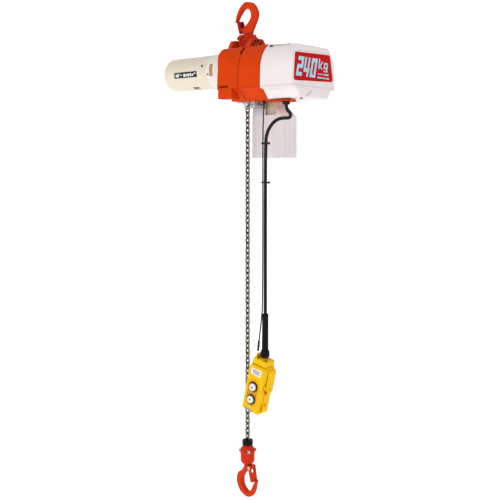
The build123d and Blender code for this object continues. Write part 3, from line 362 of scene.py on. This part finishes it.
low_outer = [(-8, -1090.5), (-10, -1098), (-15, -1106), (-22, -1110.8), (-28.3, -1117), (-31.5, -1130),
             (-29.6, -1142), (-23, -1154.5), (-15, -1162), (2, -1168), (17, -1162), (25.5, -1148),
             (28.5, -1134), (31.3, -1124)]
low_inner = [(15.5, -1090.5), (18, -1097), (9, -1102.6), (0, -1107), (-7, -1115), (-12, -1124),
             (-13, -1136), (-10.2, -1144.5), (-6, -1149.5), (2.5, -1154.5), (11, -1151.5), (16.5, -1143),
             (21.5, -1132), (26.2, -1125)]
hook_low = forged_hook("forged_load_hook", low_outer, low_inner, 7.0, 4.4, False,
                       [(-1092, -1076.6, 7.0), (-1076.6, -1068, 10.0)], "lower_hook")
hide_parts("load_hook")


# ------------------------------------------------------------------ cords
def spline_cord(name, points, radius, look):
    """A round cord through a list of points in metres."""
    data = bpy.data.curves.new(name, "CURVE")
    data.dimensions = "3D"
    data.resolution_u = 24
    data.bevel_depth = radius
    data.bevel_resolution = 6
    data.use_fill_caps = True
    sp = data.splines.new("NURBS")
    sp.points.add(len(points) - 1)
    for p, co in zip(sp.points, points):
        p.co = (*co, 1)
    sp.order_u = 3
    sp.use_endpoint_u = True
    data.materials.append(MAT[look])
    ob = bpy.data.objects.new(name, data)
    scene.collection.objects.link(ob)
    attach(ob, "hoist")
    return ob


cable_points = [
    (0.1380, -0.0280, -0.2368), (0.1386, -0.0275, -0.2480), (0.1471, -0.0228, -0.2570),
    (0.1418, -0.0181, -0.2670), (0.1267, -0.0203, -0.2665), (0.1120, -0.0261, -0.2685),
    (0.0983, -0.0324, -0.2810), (0.0881, -0.0357, -0.3000), (0.0846, -0.0370, -0.3250),
    (0.0845, -0.0370, -0.7000), (0.0844, -0.0371, -0.7560), (0.0840, -0.0374, -0.8120)]
cable = spline_cord("cable_line", cable_points, 0.004, "cable")
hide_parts("pendant_cable")


def beside(across, z, depth=0.0):
    """A point beside the hanging cable, given across, up and depth distances in metres."""
    return (0.0845 + across * 0.766 + depth * 0.643, -0.037 + across * 0.643 - depth * 0.766, z)


rope_points = [beside(-0.003, -0.233, -0.006), beside(-0.0046, -0.264, -0.0025), beside(-0.0058, -0.304),
               beside(-0.0058, -0.694), beside(-0.0092, -0.732), beside(-0.013, -0.765),
               beside(-0.0163, -0.796)]
rope = spline_cord("rope_line", rope_points, 0.0015, "rope")
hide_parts("strain_rope")


# ------------------------------------------------------------------ details
COVER_END = 186.0


def prism(bm, outline, low, high, place):
    """A prism over an outline of (u, v) points, between two depths; place(u, v, depth) is a point."""
    a = [bm.verts.new(place(u, v, low)) for u, v in outline]
    b = [bm.verts.new(place(u, v, high)) for u, v in outline]
    n = len(outline)
    bm.faces.new(a[::-1])
    bm.faces.new(b)
    for i in range(n):
        j = (i + 1) % n
        bm.faces.new((a[i], a[j], b[j], b[i]))


def rounded(points, radius, steps=6):
    """A closed outline with its corners rounded."""
    out = []
    n = len(points)
    for i in range(n):
        p, q, r = (Vector(points[(i + k) % n]) for k in (-1, 0, 1))
        a, b = (p - q).normalized(), (r - q).normalized()
        half = a.angle(b) / 2
        cut = min(radius / math.tan(half), (p - q).length * 0.48, (r - q).length * 0.48)
        for k in range(steps + 1):
            t = k / steps
            s0, s1 = q + a * cut, q + b * cut
            out.append((1 - t) ** 2 * s0 + 2 * t * (1 - t) * q + t * t * s1)
    return [(v.x, v.y) for v in out]


def end_face(u, v, depth):
    """On the end of the control cover: u to the right, v up, depth out of the face, in mm."""
    return Vector((COVER_END + depth, u, v)) * MM


def front(y):
    """On a plane that faces -Y: u along X, v up, depth out of the plane, in mm."""
    return lambda u, v, depth: Vector((u, y - depth, v)) * MM


def rear(y):
    """On a plane that faces +Y: u along X, v up, depth out of the plane, in mm."""
    return lambda u, v, depth: Vector((u, y + depth, v)) * MM


def across(u, v, x):
    """On a plane across X: u along Y, v up, x the plane's own place, in mm."""
    return Vector((x, u, v)) * MM


def box(u0, u1, v0, v1):
    """A rectangle as an outline."""
    return [(u0, v0), (u1, v0), (u1, v1), (u0, v1)]


# the label on the end face: its panel, and the heights between which its print stands
PRINT = (1.3, 1.8)
panel = [(-60.0, -124.0), (74.5, -119.5), (87.0, -181.0), (-65.5, -187.5)]
centre = Vector((sum(p[0] for p in panel) / 4, sum(p[1] for p in panel) / 4))


def grown(points, by):
    """An outline with each corner moved away from the panel's centre."""
    return [(x + math.copysign(by, x - centre.x), y + math.copysign(by, y - centre.y)) for x, y in points]


bm = bmesh.new()
prism(bm, rounded(grown(panel, 2.6), 9), -0.4, 1.0, end_face)
new_piece("label_border", bm, "cover", "hoist", smooth=False, bevel_width=0.5)
bm = bmesh.new()
prism(bm, rounded(panel, 7), 0.2, 1.4, end_face)
new_piece("label_panel", bm, "label", "hoist", smooth=False, bevel_width=0.3)

# glyphs as bars on a grid one wide and one high
GLYPHS = {
    "2": [(0, 0.80, 1, 1), (0.66, 0.42, 1, 1), (0, 0.40, 1, 0.60), (0, 0, 0.34, 0.58), (0, 0, 1, 0.2)],
    "4": [(0, 0.32, 0.30, 1), (0, 0.26, 1, 0.44), (0.60, 0, 0.90, 1)],
    "0": [(0, 0, 0.34, 1), (0.66, 0, 1, 1), (0, 0.82, 1, 1), (0, 0, 1, 0.18)],
    "g": [(0, 0.25, 0.26, 1), (0.7, 0, 1, 1), (0, 0.80, 1, 1), (0, 0.25, 1, 0.44), (0, -0.12, 1, 0.05)],
}


def merged(cells, columns, rows):
    """Grid cells covered by a glyph's bars, as a set."""
    out = set()
    for i in range(columns):
        for j in range(rows):
            x, y = (i + 0.5) / columns, (j + 0.5) / rows * 1.12 - 0.12
            if any(a <= x <= c and b <= y <= d for a, b, c, d in cells):
                out.add((i, j))
    return out


def glyph(bm, key, x, y, w, h, lean):
    """A block digit or letter on the end face, from its lower left corner."""
    columns, rows = 18, 28
    cells = merged(GLYPHS[key], columns, rows)
    corner = {}

    def vert(i, j, d):
        if (i, j, d) not in corner:
            v = (j / rows * 1.12 - 0.12) * h
            corner[(i, j, d)] = bm.verts.new(end_face(x + i / columns * w + v * lean, y + v, d))
        return corner[(i, j, d)]

    low, high = PRINT
    for i, j in cells:
        bm.faces.new((vert(i, j, high), vert(i + 1, j, high), vert(i + 1, j + 1, high), vert(i, j + 1, high)))
        for di, dj, e in ((-1, 0, ((i, j), (i, j + 1))), (1, 0, ((i + 1, j + 1), (i + 1, j))),
                          (0, -1, ((i + 1, j), (i, j))), (0, 1, ((i, j + 1), (i + 1, j + 1)))):
            if (i + di, j + dj) not in cells:
                (a, b), (c, d) = e
                bm.faces.new((vert(a, b, low), vert(a, b, high), vert(c, d, high), vert(c, d, low)))


bm = bmesh.new()
for key, x in (("2", -58.0), ("4", -32.5), ("0", -7.0)):
    glyph(bm, key, x, -176.5, 21.0, 44.0, lean=0.26)
k_stem = [(28.0, -155.0), (32.4, -155.0), (34.6, -131.5), (30.2, -131.5)]
k_arms = [(32.4, -147.5), (42.0, -137.5), (47.0, -137.5), (36.8, -147.8), (44.5, -155.0), (39.0, -155.0)]
prism(bm, k_stem, *PRINT, end_face)
prism(bm, k_arms, *PRINT, end_face)
glyph(bm, "g", 48.5, -158.0, 15.0, 19.0, lean=0.10)
new_piece("label_digits", bm, "digit", "hoist", smooth=False)
bm = bmesh.new()
for x0, x1, y0, y1 in ((26, 31, -167.5, -165.5), (32, 38, -167.5, -165.5), (39, 47, -167.5, -165.5),
                       (50, 68, -168.0, -164.5), (24, 40, -176.5, -173.0), (42, 56, -176.0, -173.5),
                       (58, 70, -176.5, -173.0)):
    prism(bm, box(x0, x1, y0, y1), 1.3, 1.6, end_face)
new_piece("label_small_bars", bm, "digit", "hoist", smooth=False)


def circle_through(a, b, c):
    """The centre and radius of the circle through three points."""
    twice_area = 2 * (a.x * (b.y - c.y) + b.x * (c.y - a.y) + c.x * (a.y - b.y))
    aa, bb, cc = a.length_squared, b.length_squared, c.length_squared
    centre = Vector(((aa * (b.y - c.y) + bb * (c.y - a.y) + cc * (a.y - b.y)) / twice_area,
                     (aa * (c.x - b.x) + bb * (a.x - c.x) + cc * (b.x - a.x)) / twice_area))
    return centre, (a - centre).length


def section(steps=14):
    """Half of the housing's outline as (y, z) points, from the top round the front to the base."""
    crown, shoulder, belly = Vector((-39, -97)), Vector((-63, -126)), Vector((-70.5, -160))
    o, r = circle_through(crown, shoulder, belly)
    a0, a1 = (math.atan2(p.y - o.y, p.x - o.x) for p in (crown, belly))
    if a1 < a0:
        a1 += 2 * math.pi
    angles = [a0 + (a1 - a0) * k / steps for k in range(steps + 1)]
    arc = [(o.x + r * math.cos(a), o.y + r * math.sin(a)) for a in angles]
    return arc + [(-72, -197), (-57, -204), (-41, -224)]


# the gasket line where the housing's halves meet
MID_Y, BELLY_Z, BELLY_HALF = 14, -160, 84
half = section()
mirror = [(2 * MID_Y - y, z) for y, z in half[::-1]]
middle = Vector((MID_Y, BELLY_Z))


def gasket_ring(x, grow):
    """The housing's outline at x, made larger by grow at its widest."""
    scaled = [middle + (Vector(p) - middle) * (1 + grow / BELLY_HALF) for p in half + mirror]
    return [Vector((x, *p)) * MM for p in scaled]


bm = bmesh.new()
inside = gasket_ring(29.75, -1.0)
ring_loft(bm, [inside, gasket_ring(29.75, 0.22), gasket_ring(30.25, 0.22), gasket_ring(30.25, -1.0), inside],
          cap_start=False, cap_end=False)
bmesh.ops.remove_doubles(bm, verts=bm.verts, dist=1e-7)
new_piece("housing_gasket", bm, "moulding", "hoist", smooth=False)

# motor strip: a bent black plate with plain pale blocks
motor_y, motor_z, motor_r = 19.0986, -141.0, 42.4


def on_motor(x, angle, height):
    """On the motor's drum: along it, degrees up from its front, height above it."""
    a, r = math.radians(angle), motor_r + height
    return Vector((x, motor_y - r * math.cos(a), motor_z + r * math.sin(a))) * MM


def bent_plate(bm, x0, x1, a0, a1, low, high, steps=10):
    """A plate that follows the motor's drum."""
    grid = {}
    for i in range(2):
        for j in range(steps + 1):
            for k, h in enumerate((low, high)):
                grid[i, j, k] = bm.verts.new(on_motor((x0, x1)[i], a0 + (a1 - a0) * j / steps, h))
    for j in range(steps):
        bm.faces.new((grid[0, j, 1], grid[1, j, 1], grid[1, j + 1, 1], grid[0, j + 1, 1]))
        bm.faces.new((grid[0, j, 0], grid[0, j + 1, 0], grid[1, j + 1, 0], grid[1, j, 0]))
        for i in (0, 1):
            bm.faces.new((grid[i, j, 0], grid[i, j, 1], grid[i, j + 1, 1], grid[i, j + 1, 0]))
    for j in (0, steps):
        bm.faces.new((grid[0, j, 0], grid[0, j, 1], grid[1, j, 1], grid[1, j, 0]))


bm = bmesh.new()
bent_plate(bm, -225, -147, -18, 1.5, -0.1, 0.35)
new_piece("motor_strip", bm, "black_print", "hoist")
bm = bmesh.new()
for x0, x1, a0, a1 in ((-220, -216, -14, -4), (-215, -209, -14, -4), (-213, -205, -6, -3),
                       (-203, -198, -10, -6), (-193, -186, -14, -4), (-185, -181, -13, -5),
                       (-179, -173, -14, -4), (-171, -166, -14, -3), (-164, -158, -13, -6),
                       (-156, -151, -8, -3)):
    bent_plate(bm, x0, x1, a0, a1, 0.3, 0.55, steps=3)
new_piece("motor_strip_blocks", bm, "white_print", "hoist")

# vents on the motor's end, seen from behind
bm = bmesh.new()
for k in range(18):
    a = 2 * math.pi * k / 18
    for r0, r1 in ((13.0, 20.0), (23.0, 31.0)):
        pts = []
        for rr, da in ((r0, 0.05), (r1, 0.05), (r1, -0.05), (r0, -0.05)):
            pts.append((motor_y + rr * math.cos(a + da * 20 / rr), motor_z + rr * math.sin(a + da * 20 / rr)))
        prism(bm, rounded(pts, 1.2, 4), -265.6, -266.15, across)
new_piece("motor_end_vents", bm, "moulding", "hoist", smooth=False)


# ------------------------------------------------------------------ suspension and lugs
def boss(bm, x, z, radius, low, high, place):
    """A round bolt head with a recess in its top."""
    rings = []
    for r, d in ((radius, low), (radius, high - 0.6), (radius - 0.6, high), (radius * 0.72, high),
                 (radius * 0.62, high - 0.7), (0.4, high - 0.7)):
        rings.append([place(x + u, z + v, d) for u, v in circle(r, 28)])
    ring_loft(bm, rings, cap_start=False)


YOKE_FACES = (front(-13.0), rear(13.0))
bm = bmesh.new()
for place in YOKE_FACES:
    for x0, x1 in ((-9.5, 9.5), (9.5, -9.5)):
        bar = [(x0 - 2.4, -64.5), (x0 + 2.4, -64.5), (x1 + 2.4, -92), (x1 - 2.4, -92)]
        prism(bm, bar, -0.5, 1.5, place)
    prism(bm, rounded(box(-17, 17, -95, -89), 2, 3), -0.5, 1.8, place)
new_piece("yoke_ribs", bm, "hook", "hoist", smooth=False, bevel_width=0.8)
# painted shade: flat dark red triangles stand for the shaded pockets between the yoke's ribs
bm = bmesh.new()
for place in YOKE_FACES:
    for triangle in ([(-6.2, -66), (6.2, -66), (0, -75)], [(-6.0, -88.5), (6.0, -88.5), (0, -81.5)],
                     [(-11.5, -87), (-11.5, -78), (-3.5, -78.5)], [(11.5, -87), (11.5, -78), (3.5, -78.5)]):
        prism(bm, triangle, -0.4, 0.35, place)
new_piece("yoke_pocket_shade", bm, "latch", "hoist", smooth=False)
for name, x, z in (("yoke_boss_left", -9.0, -69.5), ("yoke_boss_right", 10.0, -69.0)):
    for layer, radius, high, look in (("ring", 6.2, 1.9, "latch"), ("head", 4.6, 4.0, "hook")):
        bm = bmesh.new()
        for place in YOKE_FACES:
            boss(bm, x, z, radius, 0.0, high, place)
        new_piece(f"{name}_{layer}", bm, look, "hoist")
# the rising rib of the right half, painted a darker red for the shade on it
bm = bmesh.new()
rib = [(-42.0, -100.5), (-38.0, -96.0), (-19.0, -74.5), (-15.0, -72.0), (-9.5, -72.0), (-9.5, -100.5)]
prism(bm, rounded(rib, 2.0, 4), 20.4, 29.0, across)
new_piece("right_half_rib", bm, "rib", "hoist", smooth=False, bevel_width=1.0)
# a fan of pockets in the right lug, painted as flat dark sheets for the shade in them
LUG_Y, LUG_Z = -15, -98
bm = bmesh.new()
for mid in (42, 80, 117, 154):
    pts = []
    for r, spread in ((8.5, -3), (19.3, -13), (19.3, 13), (8.5, 3)):
        a = math.radians(mid + spread)
        pts.append((LUG_Y + r * math.cos(a), LUG_Z + r * math.sin(a)))
    prism(bm, rounded(pts, 1.0, 3), 41.4, 42.15, across)
new_piece("lug_pocket_shade", bm, "pocket", "hoist", smooth=False)


def on_belly(u, v, depth):
    """On the housing's front below its belly, which leans forward on its way down."""
    return Vector((u, -72.0 - depth + (v + 197) * 0.0405, v)) * MM


# dark slit above the leg: painted shade, a flat dark sheet for the shade in the slit
bm = bmesh.new()
prism(bm, rounded(box(-28, 1, -192.6, -189.4), 1.4, 4), 0.0, 0.35, on_belly)
new_piece("leg_slit_shade", bm, "pocket", "hoist", smooth=False)

# raised lip round the cover above its skirt, from its front side round the end to its rear side
LIP_Z = -198.6
lip_path = [(99, -71.0), (110, -71.0), (130, -71.0), (150, -71.0), (170, -71.0), (178, -70.6),
            (182.6, -68.6), (184.9, -64.4), (185.4, -58), (185.4, -40), (185.4, 0), (185.4, 40),
            (185.4, 86), (184.9, 92.4), (182.6, 96.6), (178, 98.6), (170, 99.0), (140, 99.0), (99, 99.0)]
lip_profile = ((-1.2, -2.4), (1.6, -2.2), (2.3, -1.0), (2.3, 0.2), (1.2, 1.8), (-1.2, 3.0))
bm = bmesh.new()
rings = []
for k, here in enumerate(lip_path):
    before = Vector(lip_path[max(k - 1, 0)])
    after = Vector(lip_path[min(k + 1, len(lip_path) - 1)])
    along = (after - before).normalized()
    away = Vector((along.y, -along.x))
    ring = []
    for depth, rise in lip_profile:
        p = Vector(here) + away * depth
        ring.append(Vector((p.x, p.y, LIP_Z + rise)) * MM)
    rings.append(ring)
ring_loft(bm, rings)
new_piece("cover_lip", bm, "cover", "hoist", smooth=False)

# slanted groove low on the end face, painted as a flat beige sheet for the shade in it
bm = bmesh.new()
prism(bm, rounded([(-20, -219.5), (-16.5, -221.5), (5, -208.5), (2, -206.0)], 1.4, 3), -0.4, 0.25, end_face)
new_piece("skirt_groove_shade", bm, "beige_shade", "hoist", smooth=False)

# beige lining of the groove along the cover's top front corner, its colour painted shade in the groove
GROOVE_Y, GROOVE_Z, GROOVE_OUTER = -47.1, -101.9, 4.4
groove_angles = [math.radians(8 - 100 * k / 12) for k in range(13)]


def groove_arc(x, radius, angles):
    """Points of the groove's arc at x."""
    return [Vector((x, GROOVE_Y + radius * math.cos(a), GROOVE_Z + radius * math.sin(a))) * MM
            for a in angles]


bm = bmesh.new()
rings = []
for x, inner in ((103.2, 3.4), (104, 3.85), (160.8, 3.85), (161.6, 3.4)):
    rings.append(groove_arc(x, inner, groove_angles) + groove_arc(x, GROOVE_OUTER, groove_angles[::-1]))
ring_loft(bm, rings)
new_piece("cover_groove_shade", bm, "beige_shade", "hoist", smooth=False)

# tan sheet behind the cut-out at the container's mouth: painted shade, standing for the shaded inside
SHADE_SHEET_FOOT, SHADE_SHEET_TOP = -256.5, -224.3
bm = bmesh.new()
rings = []
for k in range(13):
    x, y = 31 + 38 * k / 12, 31.6 - 1.2 * math.sin(math.pi * k / 12)
    corners = ((y, SHADE_SHEET_FOOT), (y + 1.0, SHADE_SHEET_FOOT), (y + 1.0, SHADE_SHEET_TOP), (y, SHADE_SHEET_TOP))
    rings.append([Vector((x, a, b)) * MM for a, b in corners])
ring_loft(bm, rings)
new_piece("container_shade_sheet", bm, "beige_shade", "hoist", smooth=False)


def upright(middle, foot, top):
    """The outline of a rib about a middle line."""
    return rounded(box(middle - 1.1, middle + 1.1, foot, top), 0.9, 3)


# upright ribs on the container
bm = bmesh.new()
for x in (14, 36, 58):
    prism(bm, upright(x, -349, -266), -0.4, 0.7, front(25.0))
for y in (40, 58, 76):
    prism(bm, upright(y, -349, -266), 82.6, 83.7, across)
    prism(bm, upright(y, -349, -250), -10.6, -11.7, across)
new_piece("container_ribs", bm, "bin", "hoist", smooth=False, bevel_width=0.4)

# ------------------------------------------------------------------ pendant
lean_angle = math.radians(13.5)
hold = Vector((84.0, -37.4, -814.5))


def on_pendant(u, v, w):
    """The pendant's frame: u across its front, v up, w out of its front, in mm."""
    c, s = math.cos(lean_angle), math.sin(lean_angle)
    return (hold + Vector((c, 0, -s)) * u + Vector((s, 0, c)) * v + Vector((0, -1, 0)) * w) * MM


BUTTON_X = 0.5
BUTTON_HEIGHTS = {"up": -69.5, "down": -99.5}


def stadium(r, steps=16):
    """A slot outline of radius r round both buttons."""
    arc = [(r * math.cos(math.pi * k / steps), r * math.sin(math.pi * k / steps)) for k in range(steps + 1)]
    return ([(BUTTON_X + x, BUTTON_HEIGHTS["up"] + y) for x, y in arc]
            + [(BUTTON_X - x, BUTTON_HEIGHTS["down"] - y) for x, y in arc])


bm = bmesh.new()
rings = []
for grow, w in ((0.0, 21.6), (0.0, 23.2), (0.5, 23.9), (1.3, 24.0), (2.0, 23.4), (2.6, 21.6)):
    rings.append([on_pendant(u, v, w) for u, v in stadium(14.2 + grow)])
ring_loft(bm, rings, cap_start=False, cap_end=False)
new_piece("pendant_button_rim", bm, "yellow", "hoist")
# painted shade: the floor of the button slot is a darker yellow for the shade in it
bm = bmesh.new()
prism(bm, stadium(14.4), 21.8, 22.15, on_pendant)
new_piece("pendant_slot_shade", bm, "yellow_dark", "hoist", smooth=False)
bm = bmesh.new()
prism(bm, rounded(box(-14.5, 14.5, -42, -27), 1.6), 21.8, 22.3, on_pendant)
new_piece("pendant_label", bm, "white_print", "hoist", smooth=False)
bm = bmesh.new()
for y in (-31.5, -35.1, -38.7):
    prism(bm, box(-10, 10, y, y + 1.3), 22.25, 22.5, on_pendant)
new_piece("pendant_label_bars", bm, "black_print", "hoist", smooth=False)
for body, flip in (("up", 1), ("down", -1)):
    y = BUTTON_HEIGHTS[body]
    arrow = [(BUTTON_X - 2.8, y - 1.8 * flip), (BUTTON_X + 2.8, y - 1.8 * flip), (BUTTON_X, y + 2.6 * flip)]
    bm = bmesh.new()
    prism(bm, arrow[::flip], 28.4, 28.75, on_pendant)
    new_piece(f"{body}_button_mark", bm, "black_print", body, smooth=False)
bm = bmesh.new()
prism(bm, rounded(box(-15, 9, -129.0, -124.5), 1.5), 21.7, 22.9, on_pendant)
new_piece("pendant_foot_plate", bm, "grey_plate", "hoist", smooth=False, bevel_width=0.3)


# a fuller sleeve over the boot, and its collar
boot_top, boot_foot = Vector((84.5, -37.0, -716.5)), Vector((84.05, -37.35, -800.0))
boot_way = (boot_foot - boot_top).normalized()
boot_side = boot_way.cross(Vector((0, 1, 0))).normalized()
boot_back = boot_way.cross(boot_side)
bm = bmesh.new()
rings = []
for along, r in ((-1.2, 4.3), (-1.0, 6.4), (0.4, 7.2), (40, 7.3), (80, 7.6), (83.5, 8.4), (85.0, 10.2),
                 (95, 10.6), (97.6, 10.2)):
    rings.append([(boot_top + boot_way * along + boot_side * x + boot_back * y) * MM
                  for x, y in circle(r, 32)])
ring_loft(bm, rings, cap_start=False, cap_end=False)
new_piece("boot_sleeve", bm, "rubber", "hoist")


def side_bar(name, path, half_w, half_t):
    """A rounded bar along the pendant's right side; path is (v, w, u) stations."""
    bm = bmesh.new()
    rings = []
    n = 10 * (len(path) - 1)
    for i in range(n + 1):
        v, w, u = curve_through([Vector(p) for p in path], i / n)
        f = math.sqrt(max(0.02, 1 - (2 * i / n - 1) ** 8))
        ring = []
        for k in range(20):
            a = 2 * math.pi * k / 20
            c, q = math.cos(a), math.sin(a)
            ring.append(on_pendant(u + half_t * f * math.copysign(abs(c) ** 0.7, c), v,
                                   w + half_w * f * math.copysign(abs(q) ** 0.7, q)))
        rings.append(ring)
    ring_loft(bm, rings)
    new_piece(name, bm, "yellow", "hoist")


guard = [(-24, -6, 23.0), (-34, -6, 24.6), (-52, -5, 25.4), (-66, -3, 26.4), (-73, -2, 27.4)]
guard_lip = [(-60, 13, 22.5), (-66, 11, 25.0), (-72, 5, 27.6), (-76, -4, 28.4), (-77, -13, 27.0)]
side_bar("pendant_guard", guard, 13.5, 3.2)
side_bar("pendant_guard_lip", guard_lip, 3.4, 3.0)
side_bar("pendant_knob", [(-67, 0, 27), (-72, 0, 29.6), (-79, 0, 29.6), (-84, 0, 27)], 6.2, 3.6)
side_bar("pendant_stem", [(-80, 4, 23.0), (-96, 3.5, 23.6), (-113, 4, 23.2)], 3.4, 1.8)
side_bar("pendant_low_knob", [(-108, 2, 24), (-113, 2, 26.2), (-121, 2, 26.2), (-127, 2, 24)], 7.5, 3.6)

# a seam round the pendant where its shells meet
bm = bmesh.new()
edge = [(-18.7, -18.8), (18.7, -18.8), (23.15, -27), (23.15, -129.7), (-23.15, -129.7), (-23.15, -27)]
rings = []
for k, w in ((1.0, 3.7), (1.001, 4.05)):
    rings.append([on_pendant(u * k, v, w) for u, v in edge])
ring_loft(bm, rings, cap_start=False, cap_end=False)
new_piece("pendant_seam", bm, "yellow_dark", "hoist", smooth=False)

# ------------------------------------------------------------------ stage and light
def stage_mesh(name, verts, faces, colour):
    """A piece of the surroundings, which is no part of the object."""
    mesh = bpy.data.meshes.new(name)
    mesh.from_pydata(verts, [], faces)
    for p in mesh.polygons:
        p.use_smooth = True
    ob = bpy.data.objects.new(name, mesh)
    scene.collection.objects.link(ob)
    mesh.materials.append(material(name, colour, 0.9, vary=0.0, spec=0.1, glow=0.42))


sweep_rows = [(-6, 0.0)] + [(3.2 + 1.2 * math.sin(a), 1.2 - 1.2 * math.cos(a)) for a in
                            [math.radians(d) for d in range(0, 91, 6)]] + [(4.4, 6.0)]
verts, faces = [], []
ground = -1.24
for along, up in sweep_rows:
    for side in (-7, 7):
        x = -along * math.sin(turn) + side * math.cos(turn)
        y = along * math.cos(turn) + side * math.sin(turn)
        verts.append((x, y, ground + up))
for i in range(len(sweep_rows) - 1):
    faces.append((2 * i, 2 * i + 1, 2 * i + 3, 2 * i + 2))
stage_mesh("studio_floor", verts, faces, (0.93, 0.93, 0.93))

world = bpy.data.worlds.new("studio")
world.use_nodes = True
world.node_tree.nodes["Background"].inputs["Color"].default_value = (1, 1, 1, 1)
world.node_tree.nodes["Background"].inputs["Strength"].default_value = 0.62
scene.world = world


def area_light(name, place, aim, size, power):
    """A round soft light at place, turned towards aim."""
    data = bpy.data.lights.new(name, "AREA")
    data.shape = "DISK"
    data.size = size
    data.energy = power
    ob = bpy.data.objects.new(name, data)
    scene.collection.objects.link(ob)
    ob.location = place
    ob.rotation_euler = (Vector(aim) - Vector(place)).to_track_quat("-Z", "Y").to_euler()


area_light("key", (0.2, -2.2, 0.2), (0, 0, -0.4), 1.4, 13)
area_light("side", (2.2, -0.3, 0.0), (0.1, 0, -0.3), 1.2, 6)
area_light("left", (-1.9, -1.5, -0.5), (0, 0, -0.4), 1.2, 5)
